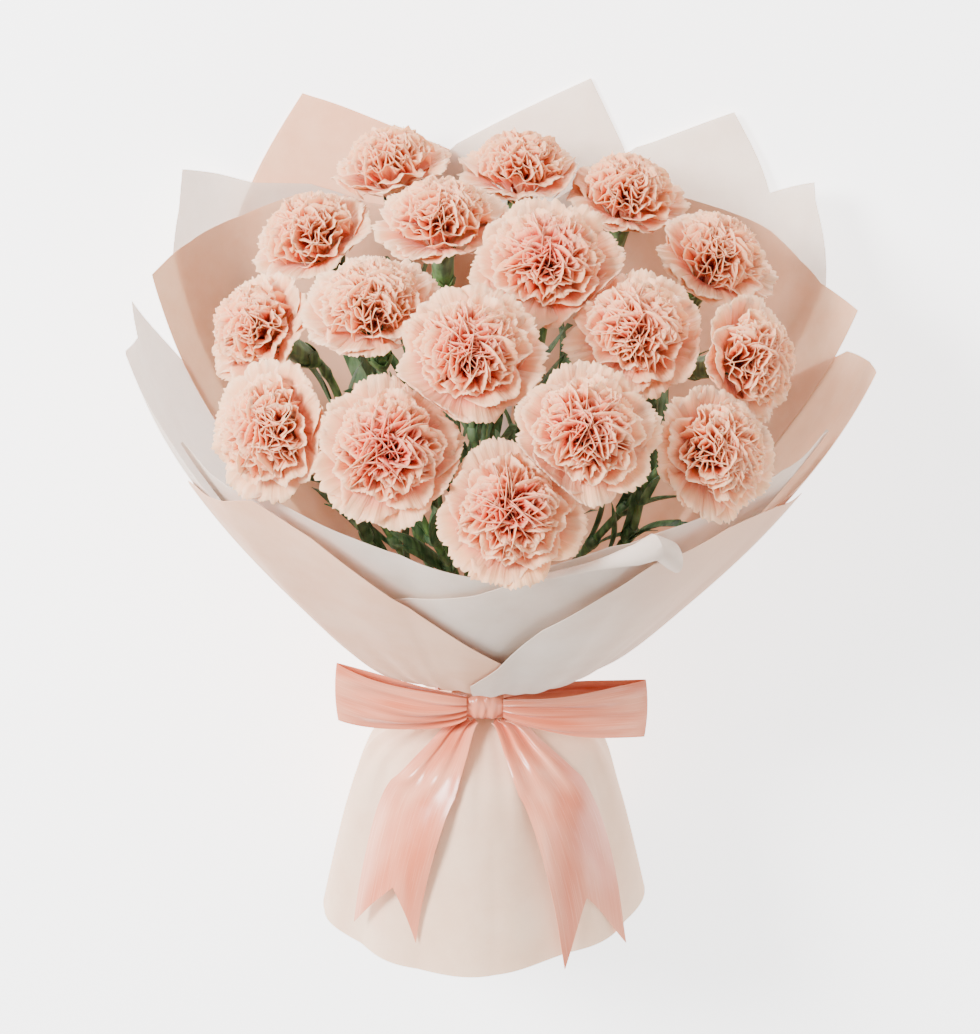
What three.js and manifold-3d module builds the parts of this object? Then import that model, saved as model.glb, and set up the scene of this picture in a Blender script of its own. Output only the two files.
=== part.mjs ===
// A hand-tied bunch of seventeen carnations, wrapped in paper and lying on its back.
// Millimetres. The bunch is first modelled upright in its own frame: x to its right, -y out of
// its front, z up the stems, with the tie at the origin. It is then laid down, so that the
// finished part has +Z up, the flowers towards +Y and its origin under its middle.
import * as THREE from 'three';
import { mergeVertices } from 'three/addons/utils/BufferGeometryUtils.js';
import Module from 'manifold-3d';

const wasm = await Module();
wasm.setup();

// How the bunch lies
const axisIncline = 8;        // degrees that the stems rise from the surface towards the flowers
const tieHeight = 92;         // middle of the tie above the surface
const touchGap = 0.3;         // between pieces that touch

// Flowers
const bloomDepth = 20;        // from the widest ring of petals down to the top of the calyx
const domeHeight = 16;        // from the widest ring up to the top of the petals
const rimThickness = 5;       // guard petals at their edge
const bloomGap = 0.6;         // between neighbouring flowers
const throatLip = 1;          // how far the foot of the petals stands out over the calyx
const cupShape = [0.72, 0.4]; // share of the radius and of the depth at the swell of the cup
const domeShape = [[0.7, 0.7], [0.38, 1]];  // shares of the radius and of the dome's height
const bloomSides = 10;

// Stems
const stemDiameter = 4.2;
const calyxLength = 24;
const calyxDiameter = 12;
const stemLengthBelowTie = 116;
const spiralAbove = 0.050;    // turn of the spiral per millimetre above the tie
const spiralBelow = 0.027;    // and below it
const leanForward = 0.255;    // how far the fan of stems leans out of the front, per millimetre
const leanSideways = 0.041;
const stemSides = 6;
const stemSteps = 14;
const stemHeights = [-72, -34, 0, 34, 72];    // where a stem's bend is set, from the tie
const stemShares = [0.46, 0.62];              // and further up, as shares of its flower's height
const neckLength = 14;        // straight stem below the calyx
const calyxProfile = [        // share of the calyx's length down from its top, share of its radius
  [0, 0.9], [0.083, 1], [0.6, 0.8], [0.9, 0.567],
];
const calyxShoulder = 4;      // from the foot of the calyx down to the plain stem

// Stem tie and ribbon
const stemTieRadius = 17.4;
const stemTieThickness = 1.6;
const stemTieWidth = 8;
const bandSides = 20;
const tieLevel = -13;         // middle of the pinch, along the stems
const bandThickness = 1;
const bandWidth = 8;
const ribbonWidth = 34;
const ribbonThickness = 0.8;
const knotWidth = 22;
const knotHeight = 15;
const knotDepth = 9;
const knotRise = 7;           // from the middle of the pinch up to the knot
const knotProfile = [         // shares of the knot's half width and depth, and of its height
  [0, -0.5], [0.72, -0.5], [0.92, -0.34], [1, 0], [0.92, 0.34], [0.72, 0.5], [0, 0.5],
];
const knotSides = 16;
const loopBelly = 6;          // half the hollow of a loop at its widest
const loopForward = 6;        // how far the loops stand out in front of the knot
const loops = [               // how far a loop reaches from the middle, and rises
  { name: 'bow_loop_left', way: -1, reach: 79, rise: 12 },
  { name: 'bow_loop_right', way: 1, reach: 86, rise: 2 },
];
const tails = [               // sideways start and end, share of the profile, and notch
  { name: 'ribbon_tail_left', start: -8, end: -58, length: 0.9, notch: 0.12 },
  { name: 'ribbon_tail_right', start: 8, end: 62, length: 0.95, notch: 0.12 },
];

// Paper
const paperThickness = 0.6;
const layerPitch = 1.5;
const lastLayer = 7;          // the outermost sheet, which lies on the surface
const bowlLean = 0.05;        // how far the bowl of paper leans to the right, per millimetre
const paperSoftness = 14;     // how softly paper bends where the surface presses it flat
const pinchTightness = 0.6;   // share of the layer pitch that is left where the band pinches it
const frontRise = 13;         // how much higher the paper opens in front than at its sides
const columnStep = 10;        // degrees
const leastColumn = 3.5;      // the least that is left between a column and a corner
const leastRow = 0.02;        // the least share of the bowl between a row and the edge
const paperRows = [0, 0.1, 0.15, 0.2, 0.26, 0.32, 0.39, 0.46, 0.53, 0.6, 0.67, 0.74, 0.81, 0.88];
const hemDrop = 138;          // from the tie down to the skirt's hem
const hemSlant = 6;           // how much lower the hem is at the left than in front
const bowlProfile = [         // radius and height of the innermost layer, from the pinch to the rim
  [19.5, -14], [20.5, -2], [38, 7], [68, 28], [104, 70], [140, 116],
  [166, 157], [182, 195], [192, 233], [199, 277], [204, 318],
];
const skirtProfile = [        // radius and height from inside the band down to the hem
  [19.4, -6], [19.6, -20], [40, -27], [58, -36], [66, -49], [73, -73], [81, -106],
  [88, -hemDrop],
];
const skirtColumns = 24;
const skirtRows = 9;

// Leaves
const leafWidth = 6.5;
const leafThickness = 0.8;
const leafRows = 7;
const sheathThickness = 1.8;
const sheathLength = 7;
const sheathSides = 8;
const bladeRoot = 1;          // height of a blade's root in the sheath

// Colours
const petal = { color: 0xf5c3b0, roughness: 0.75 };
const green = { color: 0x4d6b45, roughness: 0.7 };
const leafGreen = { color: 0x5b7a5e, roughness: 0.75 };
const whitePaper = { color: 0xe6e4e1, roughness: 0.8 };
const peachPaper = { color: 0xe8cfc4, roughness: 0.8 };
const creamPaper = { color: 0xeadacd, roughness: 0.85 };
const satin = { color: 0xebb3a0, roughness: 0.35 };
const twine = { color: 0xd9cfbb, roughness: 0.9 };

// Each flower: where it is, seen from the tie (degrees to the right and to the front of the stems'
// axis, and millimetres away), the way it faces (degrees, the same way), and its diameter.
const blooms = [
  { right: -10.5, front: -18, reach: 275, faceRight: -9, faceFront: 5, diameter: 62 },
  { right: 4, front: -18, reach: 269, faceRight: 0, faceFront: 7, diameter: 66 },
  { right: 16.5, front: -17, reach: 266, faceRight: 11, faceFront: 16, diameter: 66 },
  { right: -21, front: -10, reach: 253, faceRight: -22, faceFront: 21, diameter: 66 },
  { right: -5, front: 0, reach: 256, faceRight: -2, faceFront: 15, diameter: 68 },
  { right: 7, front: 9.5, reach: 252, faceRight: 0, faceFront: 37, diameter: 76 },
  { right: 28, front: -8, reach: 256, faceRight: 21, faceFront: 24, diameter: 66 },
  { right: -27, front: 12.5, reach: 248, faceRight: -38, faceFront: 38, diameter: 60 },
  { right: -12.5, front: 16.5, reach: 252, faceRight: -5, faceFront: 25, diameter: 66 },
  { right: 17.5, front: 17.5, reach: 244, faceRight: 7, faceFront: 38, diameter: 70 },
  { right: 30.5, front: 19.5, reach: 256, faceRight: 45, faceFront: 60, diameter: 62 },
  { right: -1.5, front: 26.5, reach: 254, faceRight: 0, faceFront: 43, diameter: 72 },
  { right: -24.5, front: 32, reach: 246, faceRight: -30, faceFront: 62, diameter: 66 },
  { right: -10.5, front: 37, reach: 244, faceRight: 0, faceFront: 53, diameter: 72 },
  { right: 10.5, front: 36.5, reach: 256, faceRight: 3, faceFront: 50, diameter: 68 },
  { right: 27, front: 34, reach: 244, faceRight: 29, faceFront: 57, diameter: 64 },
  { right: 3, front: 44, reach: 234, faceRight: 0, faceFront: 55, diameter: 70 },
];

// Leaf pairs: the flower whose stem they grow on, height along the stems, turn and length.
const leafPairs = [
  { stem: 4, height: 150, turn: 20, length: 52 },
  { stem: 7, height: 140, turn: 70, length: 56 },
  { stem: 9, height: 150, turn: 100, length: 50 },
  { stem: 12, height: 140, turn: 60, length: 54 },
  { stem: 14, height: 96, turn: 100, length: 46 },
  { stem: 16, height: 110, turn: 40, length: 50 },
];

// Sheets of paper: the layer, and the free edge as corners [degrees round the stems from the front
// towards the right, share of the way from the pinch to the rim of the bowl].
const sheets = [
  { name: 'back_sheet_peach', layer: 7, finish: peachPaper,
    edge: [[-196, 0.6], [-172, 0.82], [-148, 0.9], [-134, 0.76], [-122, 0.6]] },
  { name: 'back_sheet_white_centre', layer: 6, finish: whitePaper,
    edge: [[148, 0.6], [162, 0.83], [168, 0.91], [188, 0.83], [206, 0.7]] },
  { name: 'back_sheet_white_right', layer: 5, finish: whitePaper,
    edge: [[113, 0.7], [122, 0.82], [134, 0.79], [144, 0.88], [160, 0.83], [178, 0.72]] },
  { name: 'back_sheet_white_left', layer: 5, finish: whitePaper,
    edge: [[-174, 0.7], [-148, 0.79], [-138, 0.8], [-120, 0.84], [-113, 0.74]] },
  { name: 'side_sheet_left', layer: 4, finish: peachPaper,
    edge: [[-178, 0.72], [-146, 0.78], [-134, 0.76], [-104, 0.74]] },
  { name: 'side_sheet_right', layer: 4, finish: peachPaper,
    edge: [[101, 0.7], [114, 0.7], [130, 0.74], [150, 0.77], [176, 0.72]] },
  { name: 'outer_sheet_left', layer: 5, finish: whitePaper,
    edge: [[-106, 0.6], [-96, 0.73], [-92, 0.69], [-78, 0.72], [-62, 0.63], [-50, 0.55]] },
  { name: 'outer_sheet_right', layer: 5, finish: peachPaper,
    edge: [[50, 0.54], [64, 0.58], [75, 0.7], [99, 0.65], [110, 0.58]] },
  { name: 'collar_inner', layer: 1, finish: whitePaper,
    edge: [[-76, 0.58], [-66, 0.62], [-40, 0.6], [-26, 0.575], [-14, 0.55], [0, 0.525], [10, 0.555],
      [18, 0.58], [32, 0.59], [50, 0.6], [66, 0.63], [78, 0.6]] },
  { name: 'collar_outer', layer: 3, finish: whitePaper,
    edge: [[-34, 0.42], [-22, 0.48], [-4, 0.51], [8, 0.545], [18, 0.575], [24, 0.595], [29, 0.57],
      [36, 0.46]] },
  { name: 'lapel_left', layer: 6, finish: peachPaper,
    edge: [[-92, 0.4], [-80, 0.5], [-66, 0.575], [-42, 0.615], [-32, 0.58], [-20, 0.5], [2, 0.39],
      [12, 0.34]] },
  { name: 'lapel_right', layer: 7, finish: whitePaper,
    edge: [[-6, 0.33], [2, 0.38], [10, 0.46], [26, 0.56], [40, 0.58], [64, 0.565], [80, 0.5],
      [92, 0.4]] },
];

const degree = Math.PI / 180;
const sine = (angle) => Math.sin(angle * degree);
const cosine = (angle) => Math.cos(angle * degree);
const vector = (x, y, z) => new THREE.Vector3(x, y, z);
const lerp = THREE.MathUtils.lerp;

// A direction given by degrees to the right and to the front of the stems' axis
function direction(right, front) {
  return vector(sine(right), -cosine(right) * sine(front), cosine(right) * cosine(front));
}

// A closed solid from points and triangles, turned so that its faces point out
function solid(points, triangles) {
  let volume = 0;
  for (const [a, b, c] of triangles) {
    volume += points[a].dot(points[b].clone().cross(points[c]));
  }
  const faces = volume < 0 ? triangles.map(([a, b, c]) => [a, c, b]) : triangles;
  const geometry = new THREE.BufferGeometry().setFromPoints(points);
  geometry.setIndex(faces.flat());
  return geometry;
}

// A closed solid between two faces given over columns, each with its own count of rows.
// point(column, row, face) has face 0 inside and 1 outside. A closed sheet joins its last column
// to its first.
function sheetSolid(counts, point, closed = false) {
  const points = [];
  const starts = [[], []];
  for (const face of [0, 1]) {
    counts.forEach((count, i) => {
      starts[face].push(points.length);
      for (let j = 0; j < count; j += 1) points.push(point(i, j, face));
    });
  }
  const at = (i, j, face) => starts[face][i] + j;
  const triangles = [];
  const quad = (a, b, c, d) => triangles.push([a, b, c], [a, c, d]);
  const onBoth = (a, b, c) => {
    triangles.push([at(...a, 1), at(...b, 1), at(...c, 1)], [at(...a, 0), at(...c, 0), at(...b, 0)]);
  };
  const wall = (a, b) => quad(at(...a, 1), at(...b, 1), at(...b, 0), at(...a, 0));
  const last = counts.length - 1;
  for (let i = 0; i < (closed ? last + 1 : last); i += 1) {
    const n = i === last ? 0 : i + 1;
    const top = Math.min(counts[i], counts[n]) - 1;
    for (let j = 0; j < top; j += 1) {
      onBoth([i, j], [n, j], [n, j + 1]);
      onBoth([i, j], [n, j + 1], [i, j + 1]);
    }
    for (let j = top; j < counts[i] - 1; j += 1) onBoth([i, j], [n, top], [i, j + 1]);
    for (let j = top; j < counts[n] - 1; j += 1) onBoth([i, top], [n, j], [n, j + 1]);
    wall([n, 0], [i, 0]);
    wall([i, counts[i] - 1], [n, counts[n] - 1]);
  }
  if (!closed) {
    for (let j = 0; j < counts[0] - 1; j += 1) wall([0, j], [0, j + 1]);
    for (let j = 0; j < counts[last] - 1; j += 1) wall([last, j + 1], [last, j]);
  }
  return solid(points, triangles);
}

const evenly = (columns, rows) => new Array(columns).fill(rows);

// A closed round solid along a path, with a radius at each station of its length
function sweptSolid(path, stations, radii, sides) {
  const frameCount = 200;
  const frames = path.computeFrenetFrames(frameCount);
  const length = path.getLength();
  const points = [];
  const triangles = [];
  stations.forEach((station, k) => {
    const share = station / length;
    const centre = path.getPointAt(share);
    const frame = Math.round(share * frameCount);
    for (let i = 0; i < sides; i += 1) {
      const angle = (i * 360) / sides;
      const ray = frames.normals[frame].clone().multiplyScalar(cosine(angle));
      ray.addScaledVector(frames.binormals[frame], sine(angle));
      points.push(centre.clone().addScaledVector(ray, radii[k]));
      if (k === 0) continue;
      const a = k * sides + i;
      const b = k * sides + ((i + 1) % sides);
      triangles.push([a, b, b - sides], [a, b - sides, a - sides]);
    }
  });
  const end = points.length;
  points.push(path.getPointAt(0), path.getPointAt(1));
  for (let i = 0; i < sides; i += 1) {
    const next = (i + 1) % sides;
    triangles.push([i, next, end], [end - sides + next, end - sides + i, end + 1]);
  }
  return solid(points, triangles);
}

// A lathed solid as a closed mesh with shared vertices
function turned(profile, sides) {
  const lathe = new THREE.LatheGeometry(profile.map(([r, z]) => new THREE.Vector2(r, z)), sides);
  lathe.deleteAttribute('normal');
  lathe.deleteAttribute('uv');
  const merged = mergeVertices(lathe, 1e-4);
  const points = [];
  const position = merged.getAttribute('position');
  for (let i = 0; i < position.count; i += 1) {
    points.push(vector(position.getX(i), -position.getZ(i), position.getY(i)));
  }
  const triangles = [];
  for (let i = 0; i < merged.index.count; i += 3) {
    const [a, b, c] = merged.index.array.slice(i, i + 3);
    if (a !== b && b !== c && c !== a) triangles.push([a, b, c]);
  }
  return solid(points, triangles);
}

function toManifold(geometry) {
  return new wasm.Manifold(new wasm.Mesh({
    numProp: 3,
    vertProperties: new Float32Array(geometry.getAttribute('position').array),
    triVerts: new Uint32Array(geometry.index.array),
  }));
}

function fromManifold(body) {
  const mesh = body.getMesh();
  const geometry = new THREE.BufferGeometry();
  geometry.setAttribute('position', new THREE.BufferAttribute(mesh.vertProperties, 3));
  geometry.setIndex(new THREE.BufferAttribute(mesh.triVerts, 1));
  return geometry;
}

// Everything past a plane, as a large box
function halfSpace(point, normal) {
  const size = 400;
  const box = new THREE.BoxGeometry(size, size, size);
  box.deleteAttribute('normal');
  box.deleteAttribute('uv');
  const merged = mergeVertices(box);
  merged.translate(0, 0, size / 2);
  merged.applyQuaternion(new THREE.Quaternion().setFromUnitVectors(vector(0, 0, 1), normal));
  merged.translate(point.x, point.y, point.z);
  return toManifold(merged);
}

const upright = new THREE.Group();

function add(name, geometry, finish) {
  const mesh = new THREE.Mesh(geometry, new THREE.MeshStandardMaterial({ metalness: 0, ...finish }));
  mesh.name = name;
  upright.add(mesh);
}

const numbered = (name, i) => `${name}_${String(i + 1).padStart(2, '0')}`;

// Flowers: a low dome of petals over a cup that ends at the calyx, cut back where two flowers press
// against each other.
const flowers = blooms.map(({ right, front, reach, faceRight, faceFront, diameter }) => ({
  centre: direction(right, front).multiplyScalar(reach),
  facing: direction(faceRight, faceFront),
  radius: diameter / 2,
}));

function flowerSolid({ centre, facing, radius }, index) {
  const throat = calyxDiameter / 2 + throatLip;
  const half = rimThickness / 2;
  const [cupRadius, cupDepth] = cupShape;
  const geometry = turned([
    [0, -bloomDepth], [throat, -bloomDepth], [radius * cupRadius, -bloomDepth * cupDepth],
    [radius, -half], [radius, half],
    ...domeShape.map(([out, up]) => [radius * out, domeHeight * up]), [0, domeHeight],
  ], bloomSides);
  geometry.applyQuaternion(new THREE.Quaternion().setFromUnitVectors(vector(0, 0, 1), facing));
  geometry.translate(centre.x, centre.y, centre.z);
  let body = toManifold(geometry);
  flowers.forEach((other, otherIndex) => {
    const between = other.centre.clone().sub(centre);
    const distance = between.length();
    if (otherIndex === index || distance > radius + other.radius + bloomGap) return;
    const share = radius / (radius + other.radius);
    const normal = between.normalize();
    const meeting = centre.clone().addScaledVector(normal, distance * share - bloomGap / 2);
    body = body.subtract(halfSpace(meeting, normal));
  });
  return fromManifold(body);
}

// Stems: a spiral through the tie. At each height the whole fan of stems is the pattern at the tie,
// turned and spread by the same amount, so no two cross.
function fanOffset(centre) {
  const x = centre.x - leanSideways * centre.z;
  const y = centre.y + leanForward * centre.z;
  const turn = spiralAbove * centre.z;
  const scale = 1 + turn * turn;
  return new THREE.Vector2((x - turn * y) / scale, (y + turn * x) / scale);
}

function fanPoint(offset, height) {
  const above = height > 0;
  const turn = (above ? spiralAbove : spiralBelow) * height;
  const x = offset.x + turn * offset.y + (above ? leanSideways * height : 0);
  const y = offset.y - turn * offset.x - (above ? leanForward * height : 0);
  return vector(x, y, height);
}

function stemPath({ centre, facing }) {
  const offset = fanOffset(centre);
  const heights = [-stemLengthBelowTie, ...stemHeights, ...stemShares.map((s) => s * centre.z)];
  const points = heights.map((height) => fanPoint(offset, height));
  const calyxTop = bloomDepth + touchGap;
  for (const below of [calyxLength + neckLength, calyxLength, calyxLength / 2, 0]) {
    points.push(centre.clone().addScaledVector(facing, -calyxTop - below));
  }
  return new THREE.CatmullRomCurve3(points, false, 'centripetal');
}

const stemPaths = flowers.map(stemPath);

function stemSolid(path, grown = 0) {
  const length = path.getLength();
  const shoulder = length - calyxLength - calyxShoulder;
  const stations = [];
  const radii = [];
  for (let i = 0; i <= stemSteps; i += 1) {
    stations.push((shoulder * i) / stemSteps);
    radii.push(grown + stemDiameter / 2);
  }
  for (const [depth, radius] of [...calyxProfile].reverse()) {
    stations.push(length - calyxLength * depth);
    radii.push(grown + (radius * calyxDiameter) / 2);
  }
  return sweptSolid(path, stations, radii, stemSides);
}

// A pair of narrow leaves that grow from one sheath round the stem
function leafPairSolid({ stem, height, turn, length }) {
  const path = stemPaths[stem - 1];
  let share = 0.3;
  while (path.getPointAt(share).z < height) share += 0.002;
  const foot = path.getPointAt(share);
  const along = path.getTangentAt(share);
  const side = vector(1, 0, 0).cross(along).normalize();
  side.applyAxisAngle(along, turn * degree);
  const across = along.clone().cross(side);
  const sheathRadius = stemDiameter / 2 + sheathThickness;
  const sheath = turned([
    [0, 0], [sheathRadius, 0], [sheathRadius, sheathLength], [0, sheathLength],
  ], sheathSides);
  sheath.applyQuaternion(new THREE.Quaternion().setFromUnitVectors(vector(0, 0, 1), along));
  sheath.translate(foot.x, foot.y, foot.z);
  let body = toManifold(sheath);
  for (const way of [1, -1]) {
    const blade = sheetSolid(evenly(3, leafRows), (i, j, face) => {
      const v = j / (leafRows - 1);
      const width = leafWidth * lerp(0.35, 1, Math.sin(Math.PI * Math.min(1, 0.25 + v * 0.72)));
      const out = stemDiameter / 2 + length * (0.1 * v + 0.3 * v * v) + face * leafThickness;
      const rise = bladeRoot + (length - bladeRoot) * v * (1 - 0.12 * v);
      return foot.clone()
        .addScaledVector(along, rise)
        .addScaledVector(side, way * out)
        .addScaledVector(across, (i - 1) * width * 0.5);
    });
    body = body.add(toManifold(blade));
  }
  return fromManifold(body.subtract(toManifold(stemSolid(path, touchGap))));
}

flowers.forEach((flower, i) => add(numbered('bloom', i), flowerSolid(flower, i), petal));
stemPaths.forEach((path, i) => add(numbered('stem', i), stemSolid(path), green));
leafPairs.forEach((pair, i) => add(numbered('leaves', i), leafPairSolid(pair), leafGreen));

// A band round the tie, level with it
function bandSolid(radius, thickness, middle, width, sides) {
  const low = middle - width / 2;
  const high = middle + width / 2;
  return turned([
    [radius, low], [radius + thickness, low], [radius + thickness, high], [radius, high],
    [radius, low],
  ], sides);
}

add('stem_tie', bandSolid(stemTieRadius, stemTieThickness, 0, stemTieWidth, bandSides), twine);

// Height of a point above the surface once the bunch is laid down, and the way up there
const upwards = vector(0, -cosine(axisIncline), sine(axisIncline));
const heightOf = (point) => tieHeight + point.dot(upwards);

// Paper bends where the surface presses it, so that no point is lower than its layer allows
function pressed(point, lowest) {
  const clear = (heightOf(point) - lowest) / paperSoftness;
  const lifted = lowest + paperSoftness * (Math.max(clear, 0) + Math.log1p(Math.exp(-Math.abs(clear))));
  return point.clone().addScaledVector(upwards, lifted - heightOf(point));
}

const asCurve = (profile) => new THREE.SplineCurve(profile.map(([r, z]) => new THREE.Vector2(r, z)));
const bowlCurve = asCurve(bowlProfile);

// A point of the wrapped paper, offset outwards from the innermost layer
function bowlPoint(azimuth, share, outwards) {
  const point = bowlCurve.getPoint(share);
  const before = bowlCurve.getPoint(Math.max(share - 0.01, 0));
  const along = bowlCurve.getPoint(Math.min(share + 0.01, 1)).sub(before).normalize();
  const looseness = lerp(pinchTightness, 1, THREE.MathUtils.smoothstep(share, 0, 0.3));
  const opening = 1 - THREE.MathUtils.smoothstep(share, 0.1, 0.45);
  const rise = frontRise * Math.max(0, cosine(azimuth)) * opening;
  const radius = point.x + along.y * outwards * looseness;
  const height = point.y - along.x * outwards * looseness + rise;
  const lean = bowlLean * Math.max(height, 0);
  const lowest = (lastLayer * layerPitch) + paperThickness - outwards;
  return pressed(vector(radius * sine(azimuth) + lean, -radius * cosine(azimuth), height), lowest);
}

// The free edge of a sheet at an azimuth, straight between its corners
function edgeAt(edge, azimuth) {
  const next = Math.max(1, edge.findIndex(([corner]) => corner >= azimuth));
  const [a, low] = edge[next - 1];
  const [b, high] = edge[next];
  return lerp(low, high, (azimuth - a) / (b - a));
}

function paperSolid({ layer, edge }) {
  const first = edge[0][0];
  const last = edge[edge.length - 1][0];
  const corners = edge.map(([azimuth]) => azimuth);
  const azimuths = [...corners];
  const start = Math.ceil(first / columnStep) * columnStep;
  for (let azimuth = start; azimuth < last; azimuth += columnStep) {
    const apart = corners.every((corner) => Math.abs(corner - azimuth) > leastColumn);
    if (apart) azimuths.push(azimuth);
  }
  azimuths.sort((a, b) => a - b);
  const tops = azimuths.map((azimuth) => edgeAt(edge, azimuth));
  const columns = tops.map((top) => (
    [...paperRows.filter((share) => share < top - leastRow), top]
  ));
  return sheetSolid(columns.map((shares) => shares.length), (i, j, face) => (
    bowlPoint(azimuths[i], columns[i][j], layer * layerPitch + face * paperThickness)
  ));
}

for (const sheet of sheets) add(sheet.name, paperSolid(sheet), sheet.finish);

// The skirt: one sheet right round the cut stems, gathered under the band
const skirtCurve = asCurve(skirtProfile);
add('skirt', sheetSolid(evenly(skirtColumns, skirtRows), (i, j, face) => {
  const azimuth = (i * 360) / skirtColumns;
  const share = j / (skirtRows - 1);
  const point = skirtCurve.getPoint(share);
  const radius = point.x + face * paperThickness;
  const height = point.y + hemSlant * sine(azimuth) * share;
  const place = vector(radius * sine(azimuth), -radius * cosine(azimuth), height);
  return pressed(place, paperThickness * (1 - face));
}, true), creamPaper);

// Ribbon: a band round the pinched paper, a knot in front, two loops and two tails
const pinchedPaper = (lastLayer * layerPitch + paperThickness) * pinchTightness;
const bandRadius = bowlProfile[0][0] + pinchedPaper + touchGap * 1.5;
const bandFront = bandRadius + bandThickness;
add('ribbon_band', bandSolid(bandRadius, bandThickness, tieLevel, bandWidth, 24), satin);

const knotLevel = tieLevel + knotRise;
const knotMiddle = bandFront + touchGap + knotDepth / 2;

// The knot is a pillow: a lathed drum flattened into an oval
const knot = turned(knotProfile, knotSides);
knot.scale(knotWidth / 2, knotDepth / 2, knotHeight);
knot.translate(0, -knotMiddle, knotLevel);
add('ribbon_knot', knot, satin);

// A loop goes out from the knot, round a fold at its tip and back behind itself
function loopSolid({ way, reach, rise }) {
  const columns = 15;
  const rows = 4;
  const start = knotWidth / 2 + touchGap;
  return sheetSolid(evenly(columns, rows), (i, j, face) => {
    const angle = (180 * i) / (columns - 1);
    const spread = Math.pow(sine(angle), 0.8);
    const skin = (2 * face - 1) * ribbonThickness * 0.5;
    const belly = 1.5 + loopBelly * Math.sin(Math.PI * Math.min(1, spread * 0.8 + 0.1));
    const depth = knotMiddle + loopForward * Math.sqrt(spread) + cosine(angle) * (belly + skin);
    const out = start + (reach - start) * spread + skin * sine(angle);
    const width = lerp(knotHeight * 0.75, ribbonWidth, Math.pow(spread, 0.7));
    const height = knotLevel + rise * spread * spread + (j / (rows - 1) - 0.5) * width;
    return vector(way * out, -depth, height);
  });
}

for (const loop of loops) add(loop.name, loopSolid(loop), satin);

// A tail falls from under the knot over the shoulder of the skirt and ends in a fishtail
const tailProfile = [
  [knotMiddle - 2, -16], [50, -25], [64, -36], [72, -50], [79, -73], [87, -106], [95, -150],
];
const tailCurve = asCurve(tailProfile);

function tailSolid({ start, end, length, notch }) {
  const columns = 5;
  const rows = 10;
  return sheetSolid(evenly(columns, rows), (i, j, face) => {
    const across = i / (columns - 1) - 0.5;
    const share = (j / (rows - 1)) * (length - notch * (1 - Math.abs(across) * 2));
    const width = lerp(knotHeight * 0.7, ribbonWidth, Math.min(1, share * 2.2));
    const point = tailCurve.getPoint(share);
    const x = lerp(start, end, Math.pow(share, 0.8)) + across * width;
    const radius = point.x + face * ribbonThickness;
    return vector(x, -Math.sqrt(radius * radius - x * x), point.y);
  });
}

for (const tail of tails) add(tail.name, tailSolid(tail), satin);

// Lay the bunch on its back, and put the origin under the middle of it
const laid = new THREE.Group();
upright.rotation.x = -(90 - axisIncline) * degree;
laid.add(upright);
laid.updateMatrixWorld(true);
const box = new THREE.Box3();
upright.traverse((item) => {
  if (item.isMesh) box.union(new THREE.Box3().setFromObject(item, true));
});
laid.position.set(-(box.min.x + box.max.x) / 2, -(box.min.y + box.max.y) / 2, -box.min.z);

const carnations = new THREE.Group();
carnations.add(laid);

export default carnations;
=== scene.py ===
"""A hand-tied bunch of seventeen carnations in wrapping paper and ribbon, lying on its back."""

import math

import bmesh
import bpy
import numpy as np
from mathutils import Matrix, Vector


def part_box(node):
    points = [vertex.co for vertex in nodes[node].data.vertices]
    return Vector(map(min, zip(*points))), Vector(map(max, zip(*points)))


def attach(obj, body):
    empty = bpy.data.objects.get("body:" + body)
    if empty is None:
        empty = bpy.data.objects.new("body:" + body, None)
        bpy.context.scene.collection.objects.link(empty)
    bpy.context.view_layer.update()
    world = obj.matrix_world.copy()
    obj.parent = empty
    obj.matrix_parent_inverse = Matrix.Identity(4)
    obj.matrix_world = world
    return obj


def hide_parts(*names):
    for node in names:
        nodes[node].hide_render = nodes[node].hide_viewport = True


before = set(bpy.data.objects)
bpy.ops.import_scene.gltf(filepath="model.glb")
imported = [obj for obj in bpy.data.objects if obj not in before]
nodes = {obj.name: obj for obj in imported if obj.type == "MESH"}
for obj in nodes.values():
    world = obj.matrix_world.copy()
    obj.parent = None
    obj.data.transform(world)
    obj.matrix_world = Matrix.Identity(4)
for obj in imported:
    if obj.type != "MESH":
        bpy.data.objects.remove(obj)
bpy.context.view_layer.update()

# The lie of the bunch: it rests on its back, and its stems rise a little towards the flowers.
# Places on it are told from the tie, as they would be with the bunch held upright: x to the right,
# -y out of the front and z up the stems.
INCLINE = math.radians(8)
UPWARDS = np.array([
    [1, 0, 0],
    [0, math.sin(INCLINE), -math.cos(INCLINE)],
    [0, math.cos(INCLINE), math.sin(INCLINE)],
])
TIE = sum(np.array(corner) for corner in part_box("stem_tie")) / 2
AXIS = UPWARDS[2]


def laid(x, y, z):
    """Points of the upright bunch where they lie in the frame."""
    upright = np.stack(np.broadcast_arrays(x, y, z), axis=-1)
    return TIE + upright @ UPWARDS


# Stems: each is a thin round stalk with swollen joints, cut off at its foot and ending in the
# flower's calyx, a green cup with five pointed sepals and small scales at its base. They cross in
# a spiral at the tie.
STEM_RADIUS = 0.0021
STEM_STEP = 0.0035            # from one ring of points to the next
STEM_JOINT_SPACING = 0.043
STEM_JOINT_SWELLING = 0.0009
STEM_SIDES = 14
CALYX_LENGTH = 0.024
CALYX_SIDES = 40
CALYX_PROFILE = [  # radius, height from the foot of the calyx, and share of a tooth's height
    (0, -0.001, 0), (0.0022, -0.001, 0), (0.0030, 0.0005, 0), (0.0046, 0.004, 0),
    (0.0054, 0.009, 0), (0.0057, 0.015, 0), (0.0059, 0.020, 0.1), (0.0063, 0.0225, 0.5),
    (0.0071, 0.0235, 1), (0.0066, 0.0238, 1), (0.0056, 0.0225, 0.4), (0, 0.0215, 0),
]
SEPAL_TOOTH = 0.0042
SCALE_TOOTH = 0.0055


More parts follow.
